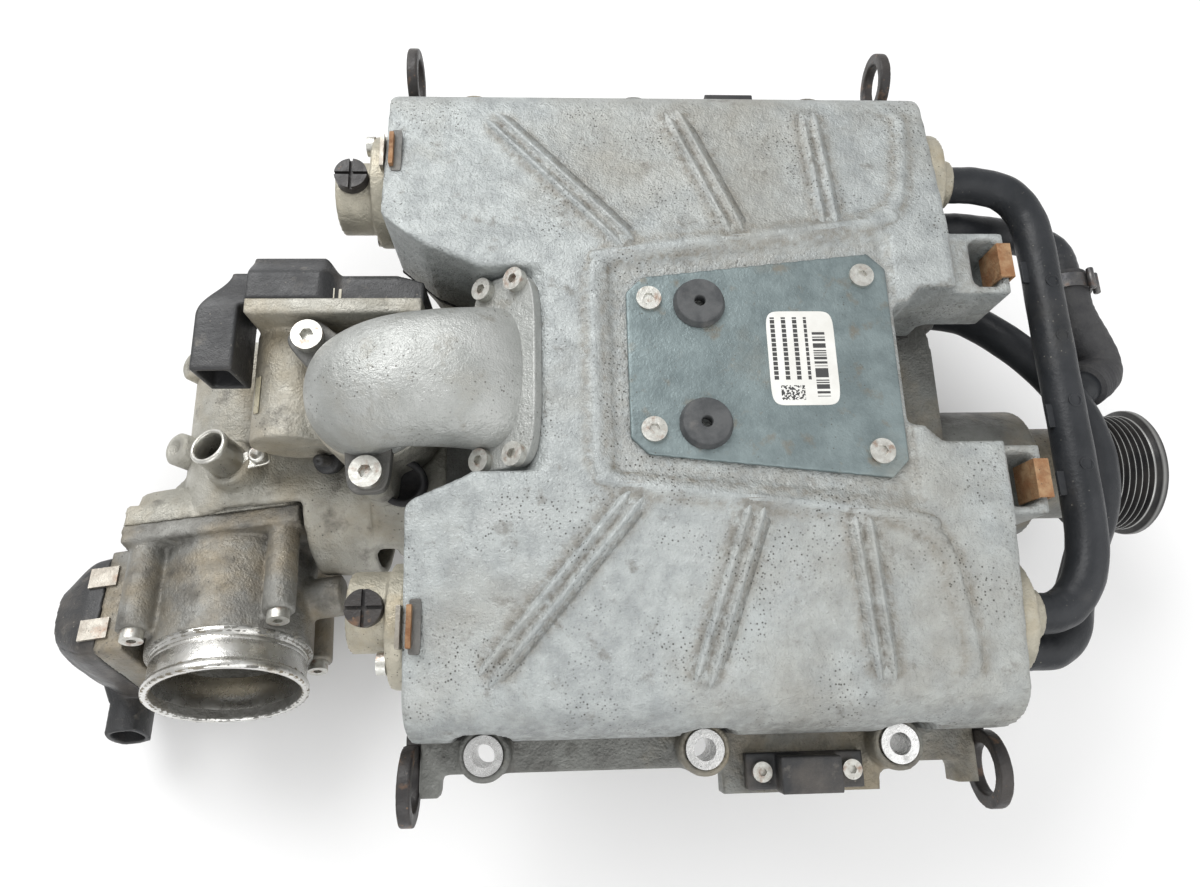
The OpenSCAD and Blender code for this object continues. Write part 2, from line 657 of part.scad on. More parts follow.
// Bearing places: start along X, and the rotor axis as -1 or 1
bearing_sites = [[case_x0, -1], [case_x0, 1], [case_x1, -1], [case_x1, 1],
    [front_bearing_x, -1], [nose_bearing_x, -1]];
module bearing_races() color("#b8bab8") for (b = bearing_sites) translate([b[0], b[1] * axis_y, rotor_z]) {
    rotate([0, 90, 0]) difference() {
        cylinder(r = bearing_r, h = bearing_w);
        translate([0, 0, -over]) cylinder(r = bearing_r - race_t, h = bearing_w + 2 * over);
    }
    ball_ring = (bearing_r - race_t + shaft_r + race_t) / 2;
    ball_r = (bearing_r - shaft_r) / 2 - race_t - run_fit;
    for (k = [0 : 8]) rotate([40 * k, 0, 0]) translate([bearing_w / 2, ball_ring, 0]) sphere(r = ball_r);
}
module inner_rings(side) for (b = bearing_sites) if (b[1] == side)
    translate([b[0], side * axis_y, rotor_z]) rotate([0, 90, 0]) difference() {
        cylinder(r = shaft_r + race_t, h = bearing_w);
        translate([0, 0, -over]) cylinder(r = shaft_r, h = bearing_w + 2 * over);
    }
module bearing_inner_rings_a() color("#b8bab8") inner_rings(-1);
module bearing_inner_rings_b() color("#b8bab8") inner_rings(1);

module drive_housing() color("#767b7b") difference() {
    union() {
        twin_case(gear_case_r + 4, plate_x1b, gear_case_x1);
        rod_x(snout_r, gear_case_x1 - eps, snout_x1, -axis_y, rotor_z);
        rod_x(nose_r, snout_x1 - eps, nose_x1, -axis_y, rotor_z);
        rod_x(socket_r, gear_case_x1 - 10, gear_case_x1 + socket_len, lower_route[0][1], lower_route[0][2]);
    }
    rod_x(pipe_r + run_fit, gear_case_x1 + 0.5, gear_case_x1 + 20, lower_route[0][1], lower_route[0][2]);
    twin_case(gear_case_r, plate_x1b - over, gear_case_x1 - 5);
    rod_x(coupling_r + 5, gear_case_x1 - 6, front_bearing_x - 4, -axis_y, rotor_z);
    rod_x(bearing_r, front_bearing_x - 5, nose_x1 - seal_w - 2, -axis_y, rotor_z);
    rod_x(bearing_r - 1, nose_x1 - seal_w - 3, nose_x1 + over, -axis_y, rotor_z);
    for (q = case_bolts) rod_x(3.2, plate_x1b - over, plate_x1b + 12, q[0], q[1]);
}

module casing_bolts() color("#a2a29c") {
    for (q = foot_bolts) translate([q[0], q[1], bypass_top + foot_t]) torx_screw(7.5, 5, 3.9, 14);
    on_seat() for (q = seat_bolts) translate([q[0], q[1], foot_t]) torx_screw(5.5, 4, 2.9, foot_t + 6);
}
seat_bolts = [for (s = [-1, 1]) each [[seat_mid + 8, s * 42], [seat_mid - 11, s * 42]]];

module shaft_seal() color("#26272a") translate([nose_x1 - seal_w, -axis_y, rotor_z]) rotate([0, 90, 0]) difference() {
    cylinder(r = bearing_r - 1, h = seal_w);
    translate([0, 0, -over]) cylinder(r = shaft_r + seal_gap, h = seal_w + 2 * over);
}

module mounting_bushes() color("#d3d5d3") for (s = [-1, 1]) for (x = bolt_xs(s)) translate([x, s * bolt_y, 0]) difference() {
    cylinder(r = bush_od / 2, h = boss_top);
    translate([0, 0, -over]) cylinder(r = bush_bore / 2, h = boss_top + 2 * over);
}

// Lifting eye: an upright plate with a ring, bolted to the end of the flange
eye_hole_r = 11.5;
eye_r = 17.5;
eye_t = 6;
eye_z = 18;
module lifting_eye(x, y, side) difference() {
    union() {
        rod_x(eye_r, x, x + eye_t, y, eye_z);
        slab(x, x + eye_t, min(y, y - side * 22), max(y, y - side * 22), 1, flange_t - 1);
    }
    rod_x(eye_hole_r, x - over, x + eye_t + over, y, eye_z);
}
module front_lifting_eyes() color("#1b1a1b") {
    lifting_eye(flange_front(-1) + gap, -flange_reach - 4, -1);
    lifting_eye(flange_front(1) + gap, flange_reach + 20, 1);
}
module rear_lifting_eyes() color("#1b1a1b") {
    lifting_eye(flange_rear(-1) - eye_t - gap, -flange_reach - 4, -1);
    lifting_eye(flange_rear(1) - eye_t - gap, flange_reach + 20, 1);
}

module u_clip(w, d, h) difference() {
    cube([d, w, h]);
    translate([1.2, -over, -over]) cube([d - 2.4, w + 2 * over, h - 1.2 + over]);
}
module cover_clips() color("#7a4a2c") {
    for (s = [-1, 1]) translate([window_x1 - 1.5, s * (tower_y0 + tower_y1) / 2 - 9, tower_top - 16]) u_clip(18, 7, 18);
}

module upper_coolant_pipe() color("#222326") pipe(upper_route, pipe_r, pipe_wall);
module lower_coolant_pipe() color("#1d1e20") difference() {
    union() {
        pipe(lower_route, pipe_r, pipe_wall);
        difference() {
            rod_between(stub_from, stub_to, pipe_r - run_fit);
            for (i = [5, 6]) rod_between(lower_route[i], lower_route[i + 1], pipe_r - pipe_wall / 2);
            translate(lower_route[6]) sphere(r = pipe_r - pipe_wall / 2);
        }
    }
    rod_between(stub_from, stub_to + 0.2 * (stub_to - stub_from), pipe_r - pipe_wall);
}
module branch_pipe() color("#222326") pipe(branch_route, pipe_r, pipe_wall);
module branch_hose() color("#17181a") pipe(hose_route, hose_r, hose_wall);
module hose_clamp() color("#3a3a3c") difference() {
    rod_y(hose_r + 2 * run_fit + 1.2, 65, 73, hose_route[0][0], hose_route[0][2]);
    rod_y(hose_r + 2 * run_fit, 65 - over, 73 + over, hose_route[0][0], hose_route[0][2]);
}

module pressure_sensors() color("#202124") {
    difference() {
        slab(30, 85, -flange_reach - 10, -flange_reach + 6, flange_t, flange_t + 6);
        for (x = sensor_screw_x) rod_z(2.5, flange_t - over, flange_t + 7, x, -flange_reach - 2);
    }
    slab(44, 72, -flange_reach - 11, -flange_reach + 5, flange_t + 6 - eps, flange_t + 17);
    slab(32, 60, flange_reach - 4, flange_reach + 10, flange_t, flange_t + 8);
}
sensor_screw_x = [37, 79];
module sensor_screws() color("#a2a29c") for (x = sensor_screw_x)
    translate([x, -flange_reach - 2, flange_t + 6]) torx_screw(4.5, 3, 2.4, 6);

// Flattened run of the elbow: two rods side by side
module elbow_run(inset, x0, x1) {
    for (t = [-1, 1]) rod_x(run_r - inset, x0, x1, bypass_y + 2 + t * run_side, run_z);
    slab(x0, x1, bypass_y + 2 - run_side, bypass_y + 2 + run_side, run_z - run_r + inset, run_z + run_r - inset);
}
module elbow_pipe() color("#cfd2d0") difference() {
    union() {
        difference() {
            union() {
                elbow_run(0, bypass_x + 3, seat_x - 1);
                on_seat() translate([-seat_len, -seat_half_y + 1, 0]) cube([seat_len - 3, 2 * seat_half_y - 2, foot_t]);
            }
            difference() {
                on_seat() translate([-200, -100, -120]) cube([300, 200, 120]);
                slab(-300, rear_mid_x - gap, -200, 200, -100, 200);
            }
        }
        intersection() {
            translate([bypass_x, bypass_y, elbow_z]) sphere(r = elbow_r);
            slab(-300, 0, -100, 100, elbow_z - eps, 200);
        }
        rod_z(elbow_r, bypass_top, elbow_z, bypass_x, bypass_y);
        for (q = foot_bolts) hull() {
            rod_z(9, bypass_top, bypass_top + foot_t, q[0], q[1], $fn = 32);
            rod_z(12, bypass_top, bypass_top + foot_t, bypass_x, bypass_y, $fn = 32);
        }
    }
    translate([seat_x - 2, 0, cover_top + 3]) rotate([0, 40, 0]) translate([-60, -60, 0]) cube([120, 120, 60]);
    elbow_run(elbow_wall, bypass_x, seat_x - 26);
    translate([bypass_x, bypass_y, elbow_z]) sphere(r = elbow_r - elbow_wall);
    rod_z(bypass_r, bypass_top - over, elbow_z, bypass_x, bypass_y);
    on_seat() translate([seat_mid, 0, -over]) cylinder(r = seat_port_r, h = 12);
    for (q = foot_bolts) rod_z(4, bypass_top - over, bypass_top + 30, q[0], q[1]);
    on_seat() for (q = seat_bolts) translate([q[0], q[1], -over]) cylinder(r = 3, h = foot_t + 2 * over);
}

// Bypass valve: gear plane lies across Y, local X along +X and local Y along +Z
bypass_pinion_p = [motor_x, motor_z];
bypass_shaft_p = [bypass_x, flap_z];
gear_y = gearbox_y + gearbox_base + 1.5;
module on_bypass_gears() { translate([0, gear_y, 0]) rotate([90, 0, 0]) mirror([0, 0, 1]) children(); }

module bypass_body() color("#97988f") difference() {
    union() {
        rod_z(bypass_r + bypass_wall, bypass_z0, bypass_top, bypass_x, bypass_y);
        for (q = foot_bolts) hull() {
            rod_z(8, foot_z0, bypass_top, q[0], q[1], $fn = 32);
            rod_z(12, foot_z0, bypass_top, bypass_x, bypass_y, $fn = 32);
        }
        rod_y(motor_r, -22, gearbox_y + 1, motor_x, motor_z);
        slab(gearbox_x0, gearbox_x1, gearbox_y, gearbox_y + gearbox_base, gearbox_z0, gearbox_z1);
        rod_y(9, bypass_y - 36, bypass_y, bypass_x, flap_z);
        rod_y(9, bypass_y, gearbox_y + 1, bypass_x, flap_z);
    }
    rod_z(bypass_r, bypass_z0 - over, bypass_top + over, bypass_x, bypass_y);
    rod_y(4 + run_fit, bypass_y - 34, gearbox_y + gearbox_base + over, bypass_x, flap_z);
    rod_y(motor_r - 3, -19, gearbox_y + 3, motor_x, motor_z);
    rod_y(8, gearbox_y, gearbox_y + gearbox_base + over, motor_x, motor_z);
    for (q = foot_bolts) rod_z(4, bypass_top - 9, bypass_top + over, q[0], q[1]);
}

// Outline of the gear cover in plan, inset by k, with its corner cut back beside the wing
module gearbox_outline(k) {
    y0 = gearbox_y + gearbox_base;
    polygon([[gearbox_x0 + k, y0], [gearbox_x1 - k, y0], [gearbox_x1 - k, y0 + gearbox_nose - k],
        [gearbox_x1 - 14 - k, y0 + gearbox_cover - k], [gearbox_x0 + k, y0 + gearbox_cover - k]]);
}
module bypass_cover() color("#1c1d1f") {
    y0 = gearbox_y + gearbox_base;
    difference() {
        union() {
            translate([0, 0, gearbox_z0]) linear_extrude(gearbox_z1 - gearbox_z0) gearbox_outline(0);
            slab(gearbox_x0 - plug_w - plug_gap, gearbox_x0 - plug_gap, 8, y0 + gearbox_cover - 6, 24, 52);
            slab(gearbox_x0 - plug_gap - eps, gearbox_x0 + 1, y0, y0 + gearbox_cover - 6, 24, 52);
        }
        translate([0, 0, gearbox_z0 + cover_shell]) linear_extrude(gearbox_z1 - gearbox_z0 - 2 * cover_shell)
            difference() {
                gearbox_outline(cover_shell);
                translate([gearbox_x0, y0 - 2]) square([1, 1]);
            }
        slab(gearbox_x0 + cover_shell, gearbox_x1 - cover_shell, y0 - over, y0 + eps, gearbox_z0 + cover_shell,
            gearbox_z1 - cover_shell);
        slab(gearbox_x0 - plug_w - plug_gap + cover_shell, gearbox_x0 - plug_gap - cover_shell, 7, 26,
            24 + cover_shell, 52 - cover_shell);
    }
    c = idler_at(bypass_pinion_p, bypass_shaft_p);
    rod_y(pin_r, gear_y, y0 + gearbox_cover - cover_shell + eps, c[0], c[1]);
}

module valve_motors() color("#85888a") {
    rod_y(motor_r - 3.2, -18, gearbox_y - 2, motor_x, motor_z);
    on_throttle() translate([case_face + 14, throttle_motor_y, throttle_shaft_z]) rotate([0, 90, 0])
        cylinder(r = throttle_motor_r, h = 60);
}

module inlet_adapter() color("#a09d93") difference() {
    union() {
        twin_case(case_r, hood_x0, case_x0);
        rod_z(bypass_r + 2, rotor_z, bypass_z0, bypass_x, bypass_y);
        rod_x(duct_r, adapter_x, hood_x0 + eps, duct_y, duct_z);
        rod_y(duct_r + 4, duct_y, chamber_len, adapter_x, adapter_z);
        translate([adapter_x, duct_y, adapter_z]) sphere(r = duct_r + 4);
        on_throttle() {
            translate([0, 0, -throttle_len - 32]) cylinder(r = throttle_body_r, h = 32);
            translate([-screw_x - 10, -screw_y - 10, -throttle_len - 12]) cube([2 * screw_x + 20, 2 * screw_y + 20, 12]);
        }
        rod_between(nozzle_base, nozzle_base + nozzle_start * (nozzle_tip - nozzle_base), nozzle_r + 3);
    }
    twin_case(chamber_r - 2, hood_x0 + adapter_wall, case_x0 + over);
    rod_z(bypass_r, rotor_z, bypass_z0 + over, bypass_x, bypass_y);
    rod_x(duct_r - adapter_wall, adapter_x, hood_x0 + 10, duct_y, duct_z);
    rod_y(duct_r, duct_y, chamber_len - adapter_wall, adapter_x, adapter_z);
    translate([adapter_x, duct_y, adapter_z]) sphere(r = duct_r);
    on_throttle() translate([0, 0, -throttle_len - 34]) cylinder(r = throttle_r, h = 36);
    rod_between(nozzle_base, nozzle_tip, nozzle_bore / 2);
    rod_z(bypass_r + bypass_wall + gap, bypass_z0, bypass_top, bypass_x, bypass_y);
    slab(hood_x0 - over, case_x0 + over, gearbox_y - gap, 80, gearbox_z0 - gap, bypass_top);
    on_throttle() {
        translate([-throttle_body_r - 30, -80, -throttle_len]) cube([2 * throttle_body_r + 36, 160, 90]);
        for (x = [-1, 1]) for (y = [-1, 1]) translate([x * screw_x, y * screw_y, -throttle_len - 11]) cylinder(r = 3.3, h = 14);
    }
}

module inlet_nozzle() color("#b7b6ae") difference() {
    rod_between(nozzle_base + nozzle_start * (nozzle_tip - nozzle_base), nozzle_tip, nozzle_r);
    rod_between(nozzle_base, nozzle_tip + 0.2 * (nozzle_tip - nozzle_base), nozzle_bore / 2);
}

// Throttle valve, in the throttle's own frame
module throttle_body() color("#8b867a") on_throttle() difference() {
    union() {
        translate([0, 0, -spigot_len]) cylinder(r = spigot_od / 2, h = spigot_len);
        translate([0, 0, -4]) cylinder(r = spigot_od / 2 + 2, h = 4);
        translate([0, 0, -throttle_len]) cylinder(r = throttle_body_r, h = throttle_len - spigot_len + eps);
        for (x = [-1, 1]) for (y = [-1, 1]) translate([x * screw_x, y * screw_y, -throttle_len]) cylinder(r = 8, h = screw_boss);
        translate([-screw_x - 10, -screw_y - 10, -throttle_len]) cube([2 * screw_x + 20, 2 * screw_y + 20, 10]);
        translate([case_face, case_y0, case_z0]) cube([case_base, case_y1 - case_y0, case_z1 - case_z0]);
        translate([case_face, 0, throttle_shaft_z]) rotate([0, 90, 0]) cylinder(r = 11, h = 116);
        translate([case_face, throttle_motor_y, throttle_shaft_z]) rotate([0, 90, 0])
            cylinder(r = throttle_motor_r + 3.6, h = 78);
    }
    translate([0, 0, -throttle_len - over]) cylinder(r = throttle_r, h = throttle_len + 2 * over);
    translate([0, 0, -spigot_len]) cylinder(r1 = throttle_r, r2 = spigot_od / 2 - 2, h = spigot_len + eps);
    translate([case_face - over, 0, throttle_shaft_z]) rotate([0, 90, 0])
        cylinder(r = throttle_shaft_r + run_fit, h = 108);
    translate([case_face - over, throttle_motor_y, throttle_shaft_z]) rotate([0, 90, 0])
        cylinder(r = throttle_motor_r + gap, h = 76);
    for (x = [-1, 1]) for (y = [-1, 1]) translate([x * screw_x, y * screw_y, -throttle_len - over]) cylinder(r = 3.3, h = 70);
}
case_base = 14;

module throttle_cover() color("#1e1f21") on_throttle() {
    difference() {
        translate([cover_out, case_y0, case_z0]) cube([case_face - cover_out, case_y1 - case_y0, case_z1 - case_z0]);
        translate([cover_out + cover_shell, case_y0 + cover_shell, case_z0 + cover_shell])
            cube([case_face - cover_out, case_y1 - case_y0 - 2 * cover_shell, case_z1 - case_z0 - 2 * cover_shell]);
    }
    c = idler_at(throttle_pin_p, throttle_shaft_p);
    translate([cover_out + cover_shell - eps, c[1], c[0]]) rotate([0, 90, 0])
        cylinder(r = pin_r, h = case_face - cover_out - cover_shell - 1.5);
    difference() {
        translate([cover_out + 4, case_y0 + 4, case_z1 - eps]) cube([plug_w, 24, 30]);
        translate([cover_out + 6.5, case_y0 + 6.5, case_z1 + 6]) cube([plug_w - 5, 19, 30]);
    }
}
module throttle_clips() color("#a9a49a") on_throttle() for (z = [case_z0 + 10, case_z1 - 18])
    translate([case_face - 8, case_y1 + gap / 10, z]) cube([14, 1.5, 11]);
module throttle_screws() color("#8f8d86") on_throttle() for (x = [-1, 1]) for (y = [-1, 1])
    translate([x * screw_x, y * screw_y, -throttle_len + screw_boss]) torx_screw(5.5, 5, 3.2, screw_boss + 10);

module pulley() color("#1a1a1c") translate([pulley_x0, -axis_y, rotor_z]) rotate([0, 90, 0]) rotate_extrude($fn = 96) {
    groove_x0 = 3;
    rim_in = pulley_r - groove_depth - pulley_rim_t;
    zig = [for (k = [0 : pulley_grooves - 1]) each [
        [pulley_r, groove_x0 + k * groove_pitch + 0.5],
        [pulley_r - groove_depth, groove_x0 + k * groove_pitch + 1.5],
        [pulley_r - groove_depth, groove_x0 + k * groove_pitch + 2],
        [pulley_r, groove_x0 + k * groove_pitch + 3]]];
    g1 = groove_x0 + pulley_grooves * groove_pitch;
    polygon(concat([[rim_in, 0], [pulley_r, 0]], zig,
        [[pulley_r, g1 + 1], [pulley_r + pulley_lip, g1 + 2.5], [pulley_r + pulley_lip, g1 + 6], [pulley_r, g1 + 7],
        [rim_in, g1 + 7], [rim_in, pulley_w - 8], [hub_r, pulley_w - 8], [hub_r, pulley_w - 3], [shaft_r, pulley_w - 3],
        [shaft_r, pulley_w - 8 - web_t], [rim_in, pulley_w - 8 - web_t]]));
}
module pulley_bolt() color("#8e8e8a") translate([pulley_front - 3, -axis_y, rotor_z]) rotate([0, 90, 0]) {
    cylinder(r = shaft_r + 3, h = 2);
    translate([0, 0, 2 - eps]) cylinder(r = 8, h = 6, $fn = 6);
    translate([0, 0, -20]) cylinder(r = 4, h = 20 + eps);
}
pin_turn = 360 / coupling_pins;
module drive_shaft() color("#aaadb0") difference() {
    union() {
        rod_x(shaft_r, coupling_x0 + coupling_t, pulley_front - 3, -axis_y, rotor_z);
        rod_x(coupling_r, coupling_x0 + coupling_t, coupling_x0 + coupling_t + flange_disc_t, -axis_y, rotor_z);
        for (k = [0 : coupling_pins - 1]) rod_x(coupling_pin_r, coupling_x0 + coupling_t / 2 + gap, coupling_x0 + coupling_t + eps,
            -axis_y + coupling_pin_ring * cos(pin_turn * k), rotor_z + coupling_pin_ring * sin(pin_turn * k));
    }
    rod_x(4, pulley_front - 23, pulley_front, -axis_y, rotor_z);
}
module drive_coupling() color("#3a3128") difference() {
    rod_x(coupling_r, coupling_x0, coupling_x0 + coupling_t, -axis_y, rotor_z);
    for (k = [0 : 2 * coupling_pins - 1]) rod_x(coupling_pin_r, coupling_x0 - over, coupling_x0 + coupling_t + over,
        -axis_y + coupling_pin_ring * cos(pin_turn * k / 2), rotor_z + coupling_pin_ring * sin(pin_turn * k / 2));
}

// Rotor outline: outer arches roll outside the pitch circle, inner ones inside it
function lobe_point(t) = let (i = floor(t / (180 / lobes) + eps), n = 2 * lobes)
    i % 2 == 0
    ? [(pitch_r + roll_r) * cos(t) - roll_r * cos((n + 1) * t), (pitch_r + roll_r) * sin(t) - roll_r * sin((n + 1) * t)]
    : [(pitch_r - roll_r) * cos(t) + roll_r * cos((n - 1) * t), (pitch_r - roll_r) * sin(t) - roll_r * sin((n - 1) * t)];
arch_steps = 8;
module rotor_outline() {
    k = 1 - rotor_play / pitch_r;
    polygon([for (j = [0 : 2 * lobes * arch_steps - 1]) k * lobe_point(j * 180 / lobes / arch_steps)]);
}
module rotor_body(side, turn) translate([rotor_x0, side * axis_y, rotor_z]) rotate([0, 90, 0]) rotate(turn)
    linear_extrude(rotor_len, twist = side * rotor_twist, slices = 14) rotor_outline();
module rotor_a() color("#9ea2a4") difference() {
    union() {
        rotor_body(-1, 0);
        rod_x(shaft_r, case_x0 - 6, coupling_x0, -axis_y, rotor_z);
        rod_x(coupling_r, coupling_x0 - flange_disc_t, coupling_x0, -axis_y, rotor_z);
        for (k = [0 : coupling_pins - 1]) rod_x(coupling_pin_r, coupling_x0 - eps, coupling_x0 + coupling_t / 2 - gap,
            -axis_y + coupling_pin_ring * cos(pin_turn * k + 60), rotor_z + coupling_pin_ring * sin(pin_turn * k + 60));
    }
}
module rotor_b() color("#9ea2a4") {
    rotor_body(1, mesh_turn(90, lobes, lobes, 22.5 + 0) - 22.5);
    rod_x(shaft_r, case_x0 - 6, gear_x0 + gear_w + 2, axis_y, rotor_z);
}
module timing_gear(side, turn) translate([gear_x0, side * axis_y, rotor_z]) rotate([0, 90, 0]) difference() {
    rotate(turn) linear_extrude(gear_w) gear_outline(timing_teeth, gear_module);
    translate([0, 0, -over]) cylinder(r = shaft_r, h = gear_w + 2 * over);
}
module timing_gear_a() color("#8c8f92") timing_gear(-1, 0);
module timing_gear_b() color("#8c8f92") timing_gear(1, mesh_turn(90, timing_teeth, timing_teeth, 0));

module bypass_flap() color("#a08040")
    rod_z(bypass_r - disc_play, flap_z - flap_t / 2, flap_z + flap_t / 2, bypass_x, bypass_y);
// Both valve shafts are slotted for their discs
module bypass_shaft() color("#b0b0ac") difference() {
    rod_y(4, bypass_y - 33, gear_y + 2 * train_step + 2, bypass_x, flap_z);
    rod_z(bypass_r - disc_play, flap_z - flap_t / 2, flap_z + flap_t / 2, bypass_x, bypass_y);
}
module bypass_final_gear() color("#d8d4c4") on_bypass_gears() final_gear(bypass_pinion_p, bypass_shaft_p, 4);
module bypass_idler() color("#d8d4c4") on_bypass_gears() idler_gear(bypass_pinion_p, bypass_shaft_p);
module bypass_pinion() color("#b08d4a") on_bypass_gears() {
    pinion_gear(bypass_pinion_p);
    translate([motor_x, motor_z, -10]) cylinder(r = pin_r - 1, h = 10 + train_w);
}

// The throttle's gear plane lies across local X; its points are in local (Z, Y)
throttle_shaft_p = [throttle_shaft_z, 0];
throttle_pin_p = [throttle_shaft_z, throttle_motor_y];
module on_throttle_gears() { on_throttle() translate([case_face - 1.5, 0, 0]) rotate([0, -90, 0]) children(); }
module throttle_disc() translate([0, 0, throttle_shaft_z - disc_t / 2]) cylinder(r = throttle_r - disc_play, h = disc_t);
module throttle_plate() color("#a08040") on_throttle() throttle_disc();
module throttle_shaft() color("#b0b0ac") on_throttle() difference() {
    translate([case_face - 2 * train_step - 3, 0, throttle_shaft_z]) rotate([0, 90, 0])
        cylinder(r = throttle_shaft_r, h = 105);
    throttle_disc();
}
module throttle_final_gear() color("#d8d4c4") on_throttle_gears() final_gear(throttle_pin_p, throttle_shaft_p, throttle_shaft_r);
module throttle_idler() color("#d8d4c4") on_throttle_gears() idler_gear(throttle_pin_p, throttle_shaft_p);
module throttle_pinion() color("#b08d4a") on_throttle_gears() {
    pinion_gear(throttle_pin_p);
    translate([throttle_pin_p[0], throttle_pin_p[1], -14]) cylinder(r = pin_r - 1, h = 14 + train_w);
}

blower_housing();
cover_gasket();
top_cover();
damper_plate();
damper_screws();
cover_grommets();
charge_coolers();
rear_cooler_cap_left();
rear_cooler_cap_right();
front_cooler_caps();
cooler_cap_screws();
bleed_screws();
bearing_plate();
bearing_races();
drive_housing();
casing_bolts();
shaft_seal();
mounting_bushes();
front_lifting_eyes();
rear_lifting_eyes();
cover_clips();
upper_coolant_pipe();
lower_coolant_pipe();
branch_pipe();
branch_hose();
hose_clamp();
pressure_sensors();
sensor_screws();
elbow_pipe();
bypass_body();
bypass_cover();
valve_motors();
inlet_adapter();
inlet_nozzle();
throttle_body();
throttle_cover();
throttle_clips();
throttle_screws();
pulley();
pulley_bolt();
drive_shaft();
drive_coupling();
timing_gear_a();
rotor_a();
bearing_inner_rings_a();
rotor_b();
timing_gear_b();
bearing_inner_rings_b();
bypass_flap();
bypass_shaft();
bypass_final_gear();
bypass_idler();
bypass_pinion();
throttle_plate();
throttle_shaft();
throttle_final_gear();
throttle_idler();
throttle_pinion();
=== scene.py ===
import bpy
import math
import numpy as np
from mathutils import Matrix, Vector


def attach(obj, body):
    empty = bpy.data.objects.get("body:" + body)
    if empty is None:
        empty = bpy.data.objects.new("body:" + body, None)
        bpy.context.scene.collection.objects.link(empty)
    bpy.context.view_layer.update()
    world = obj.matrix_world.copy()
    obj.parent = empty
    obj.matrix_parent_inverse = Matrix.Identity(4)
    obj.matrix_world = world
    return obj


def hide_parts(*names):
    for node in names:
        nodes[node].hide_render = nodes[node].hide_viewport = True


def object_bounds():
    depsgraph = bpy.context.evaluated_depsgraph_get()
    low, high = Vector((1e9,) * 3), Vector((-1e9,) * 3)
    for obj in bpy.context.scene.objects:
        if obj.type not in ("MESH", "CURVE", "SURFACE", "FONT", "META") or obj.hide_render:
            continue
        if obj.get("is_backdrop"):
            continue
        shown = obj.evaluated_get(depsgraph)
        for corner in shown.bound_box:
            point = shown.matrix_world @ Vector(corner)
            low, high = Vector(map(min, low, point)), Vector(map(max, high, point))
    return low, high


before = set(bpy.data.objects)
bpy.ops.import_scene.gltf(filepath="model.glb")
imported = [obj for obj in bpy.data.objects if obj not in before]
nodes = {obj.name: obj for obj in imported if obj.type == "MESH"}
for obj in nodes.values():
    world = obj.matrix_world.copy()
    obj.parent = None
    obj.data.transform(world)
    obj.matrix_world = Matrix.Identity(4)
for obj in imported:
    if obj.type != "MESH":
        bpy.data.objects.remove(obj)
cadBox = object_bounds()
mm = 0.001
print("frame loaded:", len(nodes), "nodes")

# Camera, light and floor

cameraSetup = {"place": (-0.0547, -0.1395, 0.4311), "turn": (16.06, -2.52, -1.41), "lens": 25.2,
    "sensor": 36.0}
lightSetup = {
    "key": {"place": (-0.6, 0.8, 1.0), "size": 0.9, "power": 15.0},
    "fill": {"place": (0.9, -0.5, 1.0), "size": 1.4, "power": 7.0},
    "strip": {"place": (-0.2, -1.1, 0.75), "size": 0.9, "power": 5.0},
    "sky": 0.62, "floorTone": 0.9,
}


def addCamera(setup):
    data = bpy.data.cameras.new("studioCamera")
    data.lens = setup["lens"]
    data.sensor_width = setup["sensor"]
    data.clip_start = 0.01
    cam = bpy.data.objects.new("studioCamera", data)
    cam.location = setup["place"]
    cam.rotation_euler = [math.radians(v) for v in setup["turn"]]
    bpy.context.scene.collection.objects.link(cam)
    bpy.context.scene.camera = cam


def addLight(name, setup):
    data = bpy.data.lights.new(name, "AREA")
    data.energy = setup["power"]
    data.size = setup["size"]
    lamp = bpy.data.objects.new(name, data)
    lamp.location = setup["place"]
    away = np.array(setup["place"])
    flat = math.hypot(away[0], away[1])
    lamp.rotation_euler = (math.atan2(flat, away[2]), 0, math.atan2(away[0], -away[1]))
    bpy.context.scene.collection.objects.link(lamp)


addCamera(cameraSetup)
for lampName in ("key", "fill", "strip"):
    addLight(lampName + "Light", lightSetup[lampName])
world = bpy.data.worlds.new("paleStudio")
world.use_nodes = True
world.node_tree.nodes["Background"].inputs[0].default_value = (1.0, 1.0, 1.0, 1)
world.node_tree.nodes["Background"].inputs[1].default_value = lightSetup["sky"]
bpy.context.scene.world = world
bpy.context.scene.view_settings.view_transform = "Standard"
print("camera and lights placed")

# Finishes: every material is mottled, stained, pitted and grained from 3-D noise on Object coordinates


def newFinish(name):
    mat = bpy.data.materials.new(name)
    mat.use_nodes = True
    tree = mat.node_tree
    coord = tree.nodes.new("ShaderNodeTexCoord").outputs["Object"]
    return mat, tree, tree.nodes["Principled BSDF"], coord


# Noise of that many waves a metre, brought to 0 at low and 1 at high.
def noiseMask(tree, coord, scale, low, high, detail=4.0, stretch=(1, 1, 1)):
    place = tree.nodes.new("ShaderNodeMapping")
    place.inputs["Scale"].default_value = stretch
    tree.links.new(coord, place.inputs["Vector"])
    tex = tree.nodes.new("ShaderNodeTexNoise")
    tex.inputs["Scale"].default_value = scale
    tex.inputs["Detail"].default_value = detail
    tex.inputs["Roughness"].default_value = 0.62
    tree.links.new(place.outputs[0], tex.inputs["Vector"])
    span = tree.nodes.new("ShaderNodeMapRange")
    span.inputs["From Min"].default_value = low
    span.inputs["From Max"].default_value = high
    tree.links.new(tex.outputs["Fac"], span.inputs["Value"])
    return span.outputs[0]


